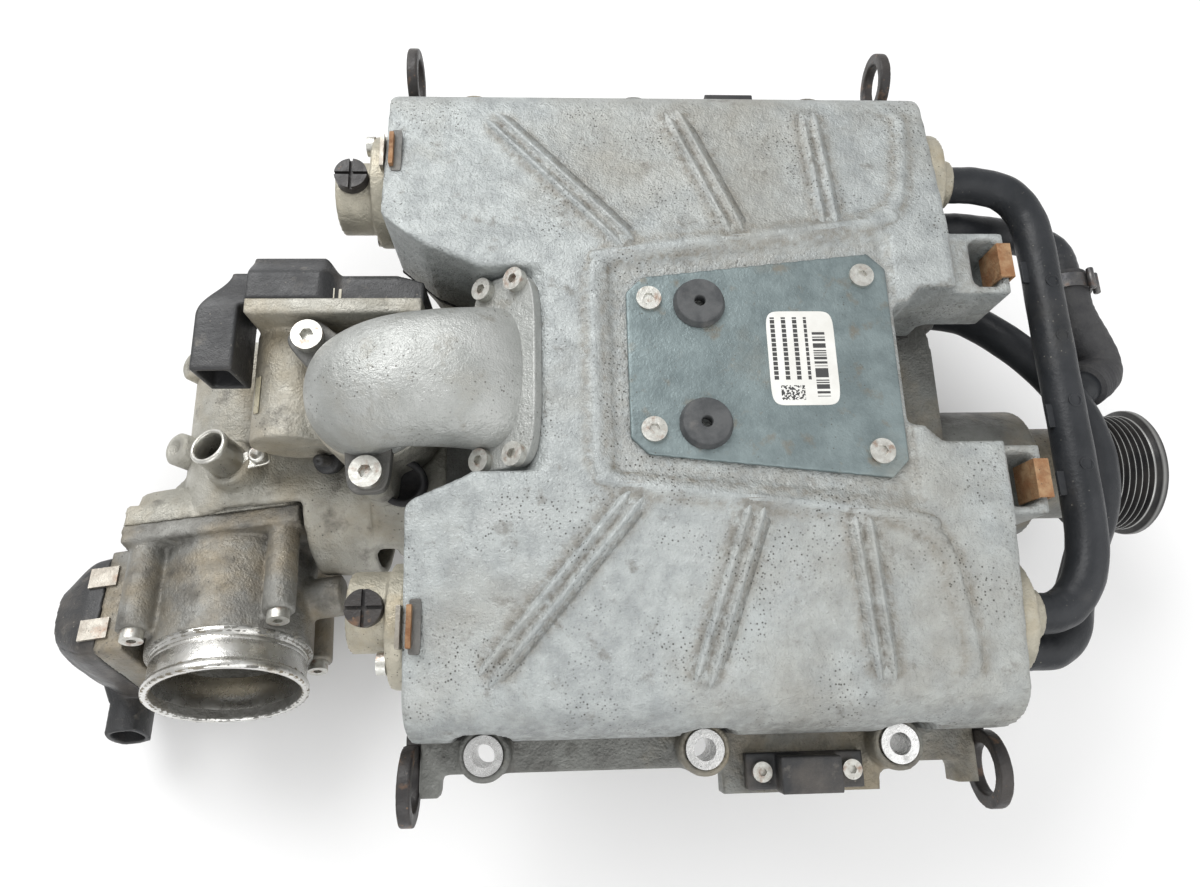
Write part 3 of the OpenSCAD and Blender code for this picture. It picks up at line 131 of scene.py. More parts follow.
# Round spots: 1 at the middle of a Voronoi cell, 0 past radius, in cell widths.
def spotMask(tree, coord, scale, radius):
    tex = tree.nodes.new("ShaderNodeTexVoronoi")
    tex.inputs["Scale"].default_value = scale
    tree.links.new(coord, tex.inputs["Vector"])
    span = tree.nodes.new("ShaderNodeMapRange")
    span.inputs["From Min"].default_value = radius
    span.inputs["From Max"].default_value = radius * 0.35
    tree.links.new(tex.outputs["Distance"], span.inputs["Value"])
    return span.outputs[0]


def times(tree, a, b):
    node = tree.nodes.new("ShaderNodeMath")
    node.operation = "MULTIPLY"
    for socket, value in zip(node.inputs, (a, b)):
        if isinstance(value, (int, float)):
            socket.default_value = value
        else:
            tree.links.new(value, socket)
    return node.outputs[0]


# Mix of two colours by a mask. A colour is three numbers or a socket.
def tint(tree, factor, below, above):
    node = tree.nodes.new("ShaderNodeMix")
    node.data_type = "RGBA"
    tree.links.new(factor, node.inputs[0])
    for socket, value in ((node.inputs[6], below), (node.inputs[7], above)):
        if isinstance(value, tuple):
            socket.default_value = (*value, 1)
        else:
            tree.links.new(value, socket)
    return node.outputs[2]


# Bumps stacked on each other, as (height socket, height in metres).
def bumpChain(tree, shader, layers):
    last = None
    for height, tall in layers:
        node = tree.nodes.new("ShaderNodeBump")
        node.inputs["Strength"].default_value = 1.0
        node.inputs["Distance"].default_value = tall
        tree.links.new(height, node.inputs["Height"])
        if last is not None:
            tree.links.new(last, node.inputs["Normal"])
        last = node.outputs[0]
    tree.links.new(last, shader.inputs["Normal"])


# A metal, rubber or plastic: two tones, stains in patches, grime and painted shade from mask attributes, dark
# pits, grain, worn sheen.
def soiledFinish(name, look):
    mat, tree, shader, coord = newFinish(name)
    colour = tint(tree, noiseMask(tree, coord, look["mottle"], 0.38, 0.62), look["tone"], look["shade"])
    for scale, low, high, stain, strength in look.get("stains", ()):
        patch = times(tree, noiseMask(tree, coord, scale, low, high, 6.0), strength)
        colour = tint(tree, patch, colour, stain)
    # Each mask attribute tints the colour: on the cover, brown grime mixed with painted shade, then
    # near-black painted shade.
    for attribute, soil in look.get("soil", ()):
        node = tree.nodes.new("ShaderNodeAttribute")
        node.attribute_name = attribute
        broken = times(tree, noiseMask(tree, coord, 240, 0.3, 0.6, 5.0), node.outputs["Fac"])
        colour = tint(tree, broken, colour, soil)
    pitScale, pitRadius, pitColour = look.get("pits", (420, 0.16, (0.05, 0.05, 0.045)))
    pits = times(tree, spotMask(tree, coord, pitScale, pitRadius), noiseMask(tree, coord, 26, 0.46, 0.6))
    colour = tint(tree, pits, colour, pitColour)
    shader.inputs["Metallic"].default_value = look["metallic"]
    shader.inputs["Specular IOR Level"].default_value = look.get("specular", 0.5)
    if "worn" in look:
        node = tree.nodes.new("ShaderNodeAttribute")
        node.attribute_name = "worn"
        colour = tint(tree, node.outputs["Fac"], colour, look["worn"])
        tree.links.new(node.outputs["Fac"], shader.inputs["Metallic"])
    tree.links.new(colour, shader.inputs["Base Color"])
    sheen = tree.nodes.new("ShaderNodeMapRange")
    sheen.inputs["To Min"].default_value = look["rough"][0]
    sheen.inputs["To Max"].default_value = look["rough"][1]
    tree.links.new(noiseMask(tree, coord, look["mottle"] * 2.3, 0.3, 0.7), sheen.inputs["Value"])
    tree.links.new(sheen.outputs[0], shader.inputs["Roughness"])
    grainScale, grainHeight = look["grain"]
    stretch = look.get("stretch", (1, 1, 1))
    bumpChain(tree, shader, [
        (noiseMask(tree, coord, grainScale * 0.28, 0.2, 0.8, 3.0, stretch), grainHeight * 1.8),
        (noiseMask(tree, coord, grainScale, 0.2, 0.8, 2.0, stretch), grainHeight)])
    return mat


tan, grime, rust = (0.36, 0.29, 0.18), (0.09, 0.085, 0.075), (0.25, 0.1, 0.035)
looks = {
    "castCover": {"tone": (0.43, 0.455, 0.45), "shade": (0.325, 0.345, 0.345), "mottle": 95, "metallic": 0.45,
        "rough": (0.38, 0.58), "grain": (1000, 0.00036), "pits": (520, 0.3, (0.05, 0.048, 0.04)),
        "stains": ((8, 0.5, 0.68, (0.3, 0.28, 0.235), 0.6), (24, 0.56, 0.7, (0.54, 0.56, 0.55), 0.6),
                   (90, 0.6, 0.7, (0.17, 0.16, 0.14), 0.6)),
        # Mask tints: brown grime mixed with painted shade beside ribs, in channels and the recess; near-black
        # painted shade in creases and on low, outer parts.
        "soil": (("soil", (0.2, 0.175, 0.135)), ("dirt", (0.06, 0.056, 0.05)))},
    "castLower": {"tone": (0.23, 0.235, 0.22), "shade": (0.155, 0.155, 0.145), "mottle": 45, "metallic": 0.5,
        "rough": (0.45, 0.7), "grain": (800, 0.0003), "pits": (300, 0.2, grime),
        "stains": ((14, 0.48, 0.66, tan, 0.5), (70, 0.55, 0.7, grime, 0.6))},
    "castEnd": {"tone": (0.46, 0.43, 0.35), "shade": (0.34, 0.32, 0.26), "mottle": 60, "metallic": 0.5,
        "rough": (0.4, 0.6), "grain": (1000, 0.00022), "stains": ((40, 0.5, 0.68, tan, 0.5),)},
    "valveCasting": {"tone": (0.44, 0.43, 0.385), "shade": (0.32, 0.31, 0.27), "mottle": 42, "metallic": 0.5,
        "rough": (0.42, 0.66), "grain": (900, 0.00028), "pits": (300, 0.19, grime),
        "stains": ((12, 0.47, 0.66, tan, 0.55), (55, 0.56, 0.7, grime, 0.7))},
    "throttleCasting": {"tone": (0.27, 0.268, 0.25), "shade": (0.185, 0.18, 0.165), "mottle": 50,
    "metallic": 0.5,
        "rough": (0.42, 0.68), "grain": (900, 0.00028), "pits": (330, 0.2, grime),
        "stains": ((16, 0.45, 0.62, (0.3, 0.24, 0.15), 0.6), (60, 0.52, 0.68, grime, 0.7))},
    "pulleyBlack": {"tone": (0.02, 0.02, 0.021), "shade": (0.04, 0.038, 0.036), "mottle": 60, "metallic": 0.0,
        "rough": (0.3, 0.45), "grain": (1500, 0.00005), "worn": (0.66, 0.66, 0.64), "specular": 0.2},
    "turnedSpigot": {"tone": (0.72, 0.72, 0.7), "shade": (0.58, 0.57, 0.54), "mottle": 60, "metallic": 0.95,
        "rough": (0.2, 0.36), "grain": (1600, 0.00004), "pits": (420, 0.02, grime),
        "stains": ((26, 0.56, 0.72, tan, 0.45),)},
    "elbowAlloy": {"tone": (0.44, 0.45, 0.435), "shade": (0.35, 0.36, 0.345), "mottle": 45, "metallic": 0.5,
        "rough": (0.34, 0.48), "grain": (1300, 0.0002), "pits": (420, 0.24, grime),
        "stains": ((22, 0.54, 0.7, (0.36, 0.34, 0.29), 0.5), (70, 0.58, 0.7, (0.2, 0.18, 0.14), 0.5))},
    # Near-black cast finish for the elbow ears; on the rear slots it is painted shade standing for the
    # opening.
    "darkCastAndSlotShade": {"tone": (0.1, 0.1, 0.095), "shade": (0.15, 0.145, 0.135), "mottle": 70, "metallic": 0.3,
        "rough": (0.4, 0.6), "grain": (1000, 0.00015), "stains": ((50, 0.55, 0.7, (0.25, 0.23, 0.19), 0.5),)},
    "tagBrass": {"tone": (0.5, 0.46, 0.33), "shade": (0.42, 0.38, 0.27), "mottle": 200, "metallic": 0.4,
        "rough": (0.4, 0.5), "grain": (1800, 0.00005),
        "stains": ((400, 0.56, 0.62, (0.15, 0.13, 0.1), 0.7),)},
    "zincPlate": {"tone": (0.24, 0.29, 0.295), "shade": (0.175, 0.215, 0.22), "mottle": 70, "metallic": 0.75,
        "rough": (0.4, 0.58), "grain": (1400, 0.0001), "pits": (380, 0.16, (0.1, 0.095, 0.08)),
        "stains": ((18, 0.5, 0.66, (0.31, 0.31, 0.275), 0.5), (90, 0.58, 0.7, (0.22, 0.15, 0.08), 0.4))},
    "zincScrew": {"tone": (0.66, 0.66, 0.62), "shade": (0.5, 0.49, 0.45), "mottle": 300, "metallic": 0.9,
        "rough": (0.3, 0.48), "grain": (2500, 0.00006), "stains": ((180, 0.54, 0.68, rust, 0.6),)},
    "bearingSteel": {"tone": (0.62, 0.63, 0.64), "shade": (0.52, 0.53, 0.54), "mottle": 200, "metallic": 1.0,
        "rough": (0.14, 0.24), "grain": (3000, 0.00002)},
    "brightBush": {"tone": (0.76, 0.76, 0.75), "shade": (0.62, 0.62, 0.61), "mottle": 160, "metallic": 1.0,
        "rough": (0.2, 0.34), "grain": (2600, 0.00005), "stretch": (1, 1, 8),
        "stains": ((120, 0.58, 0.7, grime, 0.5),)},
    "blackPaint": {"tone": (0.022, 0.02, 0.02), "shade": (0.04, 0.035, 0.032), "mottle": 70, "metallic": 0.0,
        "rough": (0.35, 0.6), "grain": (900, 0.00012), "pits": (300, 0.2, (0.18, 0.1, 0.05)),
        "stains": ((60, 0.6, 0.72, (0.2, 0.11, 0.06), 0.75),)},
    "rustySpring": {"tone": (0.3, 0.15, 0.07), "shade": (0.42, 0.27, 0.15), "mottle": 130, "metallic": 0.45,
        "rough": (0.5, 0.75), "grain": (1400, 0.0002), "stains": ((90, 0.5, 0.66, (0.16, 0.07, 0.03), 0.7),)},
    "pipePlastic": {"tone": (0.018, 0.02, 0.023), "shade": (0.03, 0.032, 0.036), "mottle": 30,
    "metallic": 0.0,
        "rough": (0.34, 0.5), "grain": (700, 0.00008), "pits": (300, 0.13, (0.17, 0.16, 0.14)),
        "stains": ((26, 0.56, 0.74, (0.1, 0.095, 0.085), 0.3),), "specular": 0.3},
    "hoseRubber": {"tone": (0.025, 0.025, 0.028), "shade": (0.045, 0.045, 0.046), "mottle": 60,
    "metallic": 0.0,
        "rough": (0.55, 0.75), "grain": (1500, 0.00012),
        "stains": ((40, 0.55, 0.72, (0.12, 0.11, 0.1), 0.45),)},
    "grommetRubber": {"tone": (0.05, 0.053, 0.056), "shade": (0.085, 0.088, 0.09), "mottle": 120,
    "metallic": 0.0,
        "rough": (0.6, 0.8), "grain": (1800, 0.0001), "stains": ((90, 0.56, 0.72, (0.17, 0.16, 0.15), 0.5),)},
    "gasketRubber": {"tone": (0.03, 0.03, 0.03), "shade": (0.05, 0.048, 0.045), "mottle": 80, "metallic": 0.0,
        "rough": (0.55, 0.75), "grain": (1500, 0.00008)},
    "coverPlastic": {"tone": (0.022, 0.023, 0.025), "shade": (0.036, 0.036, 0.037), "mottle": 40,
    "metallic": 0.0,
        "rough": (0.36, 0.56), "grain": (1300, 0.0001), "pits": (260, 0.14, (0.2, 0.18, 0.15)),
        "stains": ((30, 0.52, 0.68, (0.12, 0.105, 0.09), 0.55), (110, 0.6, 0.72, (0.22, 0.2, 0.17), 0.5))},
    "darkSteel": {"tone": (0.1, 0.1, 0.105), "shade": (0.16, 0.155, 0.15), "mottle": 150, "metallic": 0.8,
        "rough": (0.35, 0.5), "grain": (2000, 0.00006), "stains": ((120, 0.6, 0.72, rust, 0.4),)},
    "motorSteel": {"tone": (0.5, 0.5, 0.48), "shade": (0.4, 0.39, 0.37), "mottle": 60, "metallic": 0.7,
        "rough": (0.35, 0.5), "grain": (1500, 0.0001), "stains": ((50, 0.54, 0.7, grime, 0.5),)},
    "nozzleAlloy": {"tone": (0.68, 0.67, 0.63), "shade": (0.56, 0.55, 0.5), "mottle": 90, "metallic": 0.9,
        "rough": (0.24, 0.4), "grain": (1800, 0.00006), "stains": ((60, 0.56, 0.7, tan, 0.4),)},
    "springClip": {"tone": (0.4, 0.375, 0.33), "shade": (0.28, 0.255, 0.22), "mottle": 120, "metallic": 0.85,
        "rough": (0.34, 0.5), "grain": (2200, 0.00005), "stains": ((100, 0.56, 0.7, rust, 0.4),)},
    "shaftSteel": {"tone": (0.56, 0.57, 0.58), "shade": (0.46, 0.47, 0.48), "mottle": 120, "metallic": 1.0,
        "rough": (0.22, 0.34), "grain": (2600, 0.00003)},
    "couplingPolymer": {"tone": (0.12, 0.09, 0.06), "shade": (0.16, 0.12, 0.08), "mottle": 120,
    "metallic": 0.0,
        "rough": (0.5, 0.65), "grain": (1400, 0.00008)},
    "gearSteel": {"tone": (0.45, 0.46, 0.47), "shade": (0.36, 0.37, 0.38), "mottle": 150, "metallic": 1.0,
        "rough": (0.26, 0.4), "grain": (2200, 0.00005)},
    "rotorAlloy": {"tone": (0.52, 0.53, 0.54), "shade": (0.4, 0.41, 0.42), "mottle": 60, "metallic": 0.9,
        "rough": (0.28, 0.42), "grain": (1800, 0.00006)},
    "brassDisc": {"tone": (0.2, 0.18, 0.14), "shade": (0.14, 0.125, 0.1), "mottle": 90, "metallic": 0.9,
        "rough": (0.25, 0.4), "grain": (2000, 0.00005)},
    "gearPlastic": {"tone": (0.75, 0.72, 0.62), "shade": (0.68, 0.64, 0.53), "mottle": 90, "metallic": 0.0,
        "rough": (0.4, 0.52), "grain": (1500, 0.00004)},
    "coolerCore": {"tone": (0.6, 0.61, 0.61), "shade": (0.5, 0.51, 0.51), "mottle": 90, "metallic": 0.85,
        "rough": (0.3, 0.45), "grain": (1500, 0.0001)},
}
finishes = {name: soiledFinish(name, look) for name, look in looks.items()}
nodeFinish = {
    "castLower": ["blower_housing", "drive_housing", "bearing_plate"],
    "castEnd": ["rear_cooler_cap_left", "rear_cooler_cap_right", "front_cooler_caps"],
    "gasketRubber": ["cover_gasket", "shaft_seal"], "zincPlate": ["damper_plate"],
    "zincScrew": ["damper_screws", "casing_bolts", "cooler_cap_screws", "sensor_screws", "throttle_screws"],
    "grommetRubber": ["cover_grommets"], "coolerCore": ["charge_coolers"],
    "bearingSteel": ["bearing_races", "bearing_inner_rings_a", "bearing_inner_rings_b"],
    "brightBush": ["mounting_bushes"], "blackPaint": ["front_lifting_eyes", "rear_lifting_eyes",
    "bleed_screws"],
    "rustySpring": ["cover_clips"], "pipePlastic": ["upper_coolant_pipe", "lower_coolant_pipe",
    "branch_pipe"],
    "hoseRubber": ["branch_hose"], "darkSteel": ["hose_clamp", "pulley_bolt"],
    "coverPlastic": ["pressure_sensors", "bypass_cover", "throttle_cover"], "elbowAlloy": ["elbow_pipe"],
    "valveCasting": ["bypass_body", "inlet_adapter"], "motorSteel": ["valve_motors"],
    "nozzleAlloy": ["inlet_nozzle"], "throttleCasting": ["throttle_body"], "springClip": ["throttle_clips"],
    "shaftSteel": ["drive_shaft", "bypass_shaft", "throttle_shaft"], "couplingPolymer": ["drive_coupling"],
    "gearSteel": ["timing_gear_a", "timing_gear_b"], "rotorAlloy": ["rotor_a", "rotor_b"],
    "brassDisc": ["bypass_flap", "throttle_plate", "bypass_pinion", "throttle_pinion"],
    "gearPlastic": ["bypass_final_gear", "bypass_idler", "throttle_final_gear", "throttle_idler"],
    "castCover": ["top_cover"], "pulleyBlack": ["pulley"],
}
finishOf = {node: finish for finish, group in nodeFinish.items() for node in group}
for nodeName, finishName in finishOf.items():
    for place in nodes[nodeName].material_slots:
        place.material = finishes[finishName]
print("finishes made:", len(finishes))

# Mesh helpers


def finishPiece(name, mesh, finish, body="module", smooth=True):
    mesh.materials.clear()
    mesh.materials.append(finishes[finish] if isinstance(finish, str) else finish)
    mesh.polygons.foreach_set("use_smooth", np.full(len(mesh.polygons), smooth))
    mesh.update()
    piece = bpy.data.objects.new(name, mesh)
    bpy.context.scene.collection.objects.link(piece)
    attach(piece, body)
    return piece


# cad_node_name to cadNodeName with an ending
def pieceNameOf(node, ending):
    words = node.split("_")
    return words[0] + "".join(word.capitalize() for word in words[1:]) + ending


def meshOf(name, points, faces):
    mesh = bpy.data.meshes.new(name)
    mesh.from_pydata(np.asarray(points).reshape(-1, 3).tolist(), [], faces)
    return mesh


# Quads between rings of points, with a flat cap on each end.
def ringFaces(stations, sides, first=0):
    i, j = np.meshgrid(np.arange(stations - 1), np.arange(sides), indexing="ij")
    k = (j + 1) % sides
    quads = np.stack([i * sides + j, i * sides + k, (i + 1) * sides + k, (i + 1) * sides + j],
        -1).reshape(-1, 4)
    ends = [list(range(sides))[::-1], list(range((stations - 1) * sides, stations * sides))]
    return [[v + first for v in q] for q in quads.tolist() + ends]


# Quads between rings of points, the last ring joined to the first, as on a tube with an outside and a bore.
def loopFaces(stations, sides):
    i, j = np.meshgrid(np.arange(stations), np.arange(sides), indexing="ij")
    k, m = (j + 1) % sides, (i + 1) % stations
    return np.stack([i * sides + j, i * sides + k, m * sides + k, m * sides + j], -1).reshape(-1, 4).tolist()


# Catmull-Rom curve through the points, sampled evenly between them.
def smoothRoute(points, count):
    p = np.vstack([2 * points[0] - points[1], points, 2 * points[-1] - points[-2]])
    t = np.linspace(0, len(points) - 1 - 1e-9, count)
    i = t.astype(int)
    f = (t - i)[:, None]
    a, b, c, d = p[i], p[i + 1], p[i + 2], p[i + 3]
    bend, twist = 2 * a - 5 * b + 4 * c - d, 3 * b - a - 3 * c + d
    return 0.5 * (2 * b + (c - a) * f + bend * f ** 2 + twist * f ** 3)


# Carries a closed outline (side, height) along a route: side lies across it, height along up.
def profileAlong(route, outline, up=(0, 0, 1), scale=None):
    run = np.gradient(route, axis=0)
    run /= np.linalg.norm(run, axis=1, keepdims=True)
    side = np.cross(run, np.broadcast_to(up, run.shape))
    side /= np.linalg.norm(side, axis=1, keepdims=True)
    high = np.cross(side, run)
    size = np.ones(len(route)) if scale is None else scale
    return (route[:, None] + size[:, None, None] * (outline[None, :, :1] * side[:, None] + outline[None, :,
        1:] * high[:, None]))


def roundOutline(radius, sides):
    turn = np.linspace(0, 2 * math.pi, sides, endpoint=False)
    return np.stack([radius * np.cos(turn), -radius * np.sin(turn)], 1)


# A casting's own shape taken from its CAD node, with its corners rounded as a mould leaves them.
def castCopy(node, voxel, rounds):
    source = nodes[node]
    mesh = source.data.copy()
    work = bpy.data.objects.new(node + "_work", mesh)
    bpy.context.scene.collection.objects.link(work)
    weld = work.modifiers.new("weld", "WELD")
    weld.merge_threshold = 0.00001
    remesh = work.modifiers.new("remesh", "REMESH")
    remesh.mode = "VOXEL"
    remesh.voxel_size = voxel * mm
    ease = work.modifiers.new("ease", "SMOOTH")
    ease.factor = 0.5
    ease.iterations = rounds
    shaped = bpy.data.meshes.new_from_object(work.evaluated_get(bpy.context.evaluated_depsgraph_get()))
    bpy.data.objects.remove(work)
    bpy.data.meshes.remove(mesh)
    return shaped


def meshPoints(mesh):
    flat = np.empty(len(mesh.vertices) * 3, dtype=np.float32)
    mesh.vertices.foreach_get("co", flat)
    return flat.reshape(-1, 3).astype(float)


def meshNormals(mesh):
    flat = np.empty(len(mesh.vertices) * 3, dtype=np.float32)
    mesh.vertex_normals.foreach_get("vector", flat)
    return flat.reshape(-1, 3)


def setPoints(mesh, points):
    mesh.vertices.foreach_set("co", points.astype(np.float32).ravel())
    mesh.update()


def setMask(mesh, name, values):
    mesh.attributes.new(name, "FLOAT", "POINT").data.foreach_set("value", values.astype(np.float32))


def softStep(x, low, high):
    t = np.clip((x - low) / (high - low), 0, 1)
    return t * t * (3 - 2 * t)


# Least distance from points to a chain of straight pieces, all in millimetres.
def distanceTo(x, y, path):
    best = np.full(x.shape, 1e9)
    for (ax, ay), (bx, by) in zip(path[:-1], path[1:]):
        dx, dy = bx - ax, by - ay
        t = np.clip(((x - ax) * dx + (y - ay) * dy) / (dx * dx + dy * dy), 0, 1)
        best = np.minimum(best, np.hypot(x - ax - t * dx, y - ay - t * dy))
    return best


# Cover

cover = {
    "top": 77.0, "slopeFrom": 66.0, "slopeTo": 138.0, "fall": 9.0,
    "ribs": {1: [((-24, 64), (-81, 130)), ((30, 70), (6, 136)), ((77, 74), (75, 136))],
             -1: [((-24, -64), (-81, -130)), ((30, -70), (6, -136)), ((77, -74), (83, -136))]},
    "ridge": [(-38, 0), (-38, 44), (-34, 52), (-26, 56), (96, 72), (108, 79), (115, 90), (122, 128),
    (121, 138), (113, 146)],
    "ridgeHigh": 1.5, "ridgeWide": 2.6, "dish": 1.5, "scoop": 14.5, "lipSteps": 260,
}


# Height of the cover's top at |y|: flat, then a straight fall to the outer edge.
def coverTop(a):
    along = np.clip((a - cover["slopeFrom"]) / (cover["slopeTo"] - cover["slopeFrom"]), 0, 1)
    return cover["top"] - cover["fall"] * along


bushPlaces = [(x, s * 169.0) for s, row in ((-1, (-90, 10, 100)), (1, (-100, -10, 90))) for x in row]


# The cover with its panels dished between the ribs, and a scoop beside each bush.
def shapeCover():
    mesh = castCopy("top_cover", 1.84, 2)
    p = meshPoints(mesh) / mm
    n = meshNormals(mesh)
    x, y, z = p.T
    a = np.abs(y)
    top = coverTop(a)
    upper = (n[:, 2] > 0.25) & (a < 140) & (x < 136) & (z > top - 1.2)
    upper &= (x > -59) | (a > 52)
    z = np.where(upper & (z > top), top, z)
    ribGap = np.full(x.shape, 1e9)
    for ribs in cover["ribs"].values():
        for rib in ribs:
            ribGap = np.minimum(ribGap, distanceTo(x, y, rib))
    ridgeGap = distanceTo(x, a, cover["ridge"])
    swell = np.maximum(np.exp(-(ribGap / 10.0) ** 2), np.exp(-(ridgeGap / 9.0) ** 2))
    panel = softStep(a, 58, 70) * (1 - softStep(a, 126, 140)) * (1 - softStep(x, 104, 118))
    shift = -cover["dish"] * panel * (1 - swell)
    shift += cover["ridgeHigh"] * np.exp(-(ridgeGap / cover["ridgeWide"]) ** 2)
    z = z + np.where(upper, shift, 0)
    for bushX, bushY in bushPlaces:
        near = np.hypot(x - bushX, y - bushY)
        reach = cover["scoop"] * (1 - softStep(z, 46, 64))
        span = np.sqrt(np.clip(reach ** 2 - (x - bushX) ** 2, 0, None))
        y = np.where((near < reach) & (n[:, 2] < 0.97),
            np.sign(bushY) * np.minimum(np.abs(y), np.abs(bushY) - span), y)
    setPoints(mesh, np.stack([x, y, z], 1) * mm)
    # Brown grime beside the ribs and ridge, mixed with painted shade that darkens the plate recess floor.
    flank = np.exp(-((ribGap - 6.5) / 3.0) ** 2) + np.exp(-((ridgeGap - 4.5) / 2.2) ** 2)
    recess = (x > -33) & (a < 66) & (z < 76.2) & (n[:, 2] > 0.5)
    setMask(mesh, "soil", np.clip(flank, 0, 1) * np.where(upper, 0.6, 0.2) + recess * 0.35)
    # Near-black painted shade towards the outer rim, on the low flanks and in a thin line along each rib's
    # foot.
    outer = softStep(a, 146, 164) * 0.45 + (z < 40) * 0.25
    setMask(mesh, "dirt", np.clip(outer + 0.35 * np.exp(-((ribGap - 5.5) / 1.6) ** 2), 0, 1))
    piece = finishPiece("coverShell", mesh, "castCover")
    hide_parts("top_cover")


# Ribs: a channel between two slim rails, carried along each rib and laid on the slope.
def coverRails():
    across = np.array([-7.5, -5.2, -4.3, -3.7, -3.0, -2.3, -1.6, 0, 1.6, 2.3, 3.0, 3.7, 4.3, 5.2, 7.5])
    rise = np.array([-0.5, 0.25, 1.0, 1.7, 1.95, 1.6, 0.7, 0.35, 0.7, 1.6, 1.95, 1.7, 1.0, 0.25, -0.5])
    outline = np.stack([np.append(across, [6.5, -6.5]), np.append(rise, [-3.5, -3.5])], 1) * mm
    points, faces, soil = [], [], []
    for ribs in cover["ribs"].values():
        for start, end in ribs:
            start, end = np.array(start, float), np.array(end, float)
            t = np.linspace(-0.06, 1.12, 60)[:, None]
            flat = start + (end - start) * t
            a = np.abs(flat[:, 1])
            height = coverTop(a) - 0.35 - np.where(a > 134, (a - 134) ** 2 * 0.035, 0)
            fade = softStep(t[:, 0], -0.06, 0.02) * (1 - softStep(t[:, 0], 1.04, 1.12))
            route = np.column_stack([flat, height - 1.6 * (1 - fade)]) * mm
            rings = profileAlong(route, outline)
            faces += ringFaces(len(route), len(outline), sum(len(q) for q in points))
            points.append(rings.reshape(-1, 3))
            # Channel centre and rail feet: grime mixed with painted shade where the rails make a crease.
            soil.append(np.tile(np.append(np.exp(-(across / 1.8) ** 2) + 0.6 * (np.abs(across) > 5),
                [0, 0]), len(route)))
    mesh = meshOf("coverRails", np.vstack(points), faces)
    setMask(mesh, "soil", np.clip(np.concatenate(soil), 0, 1) * 0.7)
    # Near-black painted shade along the bottom of the channel and a trace at the rails' feet.
    setMask(mesh, "dirt", np.clip(np.concatenate(soil) - 0.5, 0, 1))
    finishPiece("coverRails", mesh, "castCover")


shapeCover()
coverRails()
print("cover shaped")

# Castings whose corners only need a mould's rounding

castings = {
    "blower_housing": (2.0, 2, "castLower", "cast_lower"),
    "drive_housing": (1.5, 3, "castLower", "cast_lower"),
    "bypass_body": (1.2, 4, "valveCasting", "valve_casting"),
    "inlet_adapter": (1.4, 4, "valveCasting", "valve_casting"),
    "rear_cooler_cap_left": (1.0, 3, "castEnd", "cast_end"),
    "rear_cooler_cap_right": (1.0, 3, "castEnd", "cast_end"),
    "front_cooler_caps": (1.0, 3, "castEnd", "cast_end"),
    "bypass_cover": (0.9, 3, "coverPlastic", "cover_plastic"),
    "throttle_cover": (0.9, 4, "coverPlastic", "cover_plastic"),
    "damper_plate": (0.9, 2, "zincPlate", "zinc_plate"),
    "cover_grommets": (0.45, 3, "grommetRubber", "grommet_rubber"),
    "front_lifting_eyes": (0.8, 3, "blackPaint", "black_paint"),
    "rear_lifting_eyes": (0.8, 3, "blackPaint", "black_paint"),
    "pressure_sensors": (0.7, 3, "coverPlastic", "sensor_plastic"),
    "throttle_body": (1.25, 2, "throttleCasting", "throttle_casting"),
}
throttle = {"mouth": np.array([-225.0, -141.0, -23.5]), "tilt": 19.4, "turn": 6.8}


# The throttle's own frame: local Z out of the mouth, local Y up its side, local X along the plate's shaft.
def throttleAxes():
    a, b = math.radians(90 - throttle["tilt"]), math.radians(throttle["turn"])
    lean = np.array([[1, 0, 0], [0, math.cos(a), -math.sin(a)], [0, math.sin(a), math.cos(a)]])
    spin = np.array([[math.cos(b), -math.sin(b), 0], [math.sin(b), math.cos(b), 0], [0, 0, 1]])
    return spin @ lean


throttleFrame = throttleAxes()


# The left end stands up as a block; the rest slopes down and narrows to the right, and the outer top edge
# is cut back.
def shapeBypassCover(p):
    x, y, z = p.T
    block = softStep(-x, 160, 170)
    onBox = x > -206
    deep = 42 + (y - 42) * (0.62 + 0.38 * block)
    y = np.where(onBox, deep, y)
    high = np.clip((z - 30) / 28, 0, 1)
    z = z - np.where(onBox, high * (7.0 * (1 - block) + softStep(y, 54, 68) * 9.0),
        high * softStep(y, 40, 62) * 9.0)
    x = x + np.where(onBox, 0, softStep(y, 36, 62) * 13.0 * softStep(-x, 206, 229))
    return np.column_stack([x, y, z])


# The cover's outer face is drawn in on all sides, so its rim slopes like a tray turned over.
def shapeThrottleCover(p):
    local = (p - throttle["mouth"]) @ throttleFrame
    x, y, z = local.T
    box = z < -21.5
    rise = np.clip((-58 - x) / 26, 0, 1)
    u, v = (y + 18) / 44, (z + 50.5) / 28.5
    power = np.interp(rise, [0, 0.3, 1], [9, 7, 3.2])
    size = np.maximum(np.abs(u), np.abs(v)) + 1e-9
    rounding = size * ((np.abs(u) ** power + np.abs(v) ** power) + 1e-12) ** (-1 / power)
    taper = softStep(rise, 0.25, 1.15)
    boxY = -18 + 44 * u * rounding * (1 - 0.16 * taper)
    boxZ = -50.5 + 28.5 * v * rounding * (1 - 0.34 * taper)
    across, along = (x + 70) / 10, (y + 46) / 12  # the plug below the box, made shorter and rounder
    reach = np.maximum(np.abs(across), np.abs(along)) + 1e-9
    blend = 0.35 + 0.65 * reach / np.hypot(across, along).clip(1e-9)
    plugX, plugY, plugZ = -70 + 10 * across * blend, -46 + 12 * along * blend, -22 + (z + 22) * 0.62
    x = np.where(box, x, plugX)
    y, z = np.where(box, boxY, plugY), np.where(box, boxZ, plugZ)
    return np.column_stack([x, y, z]) @ throttleFrame.T + throttle["mouth"]


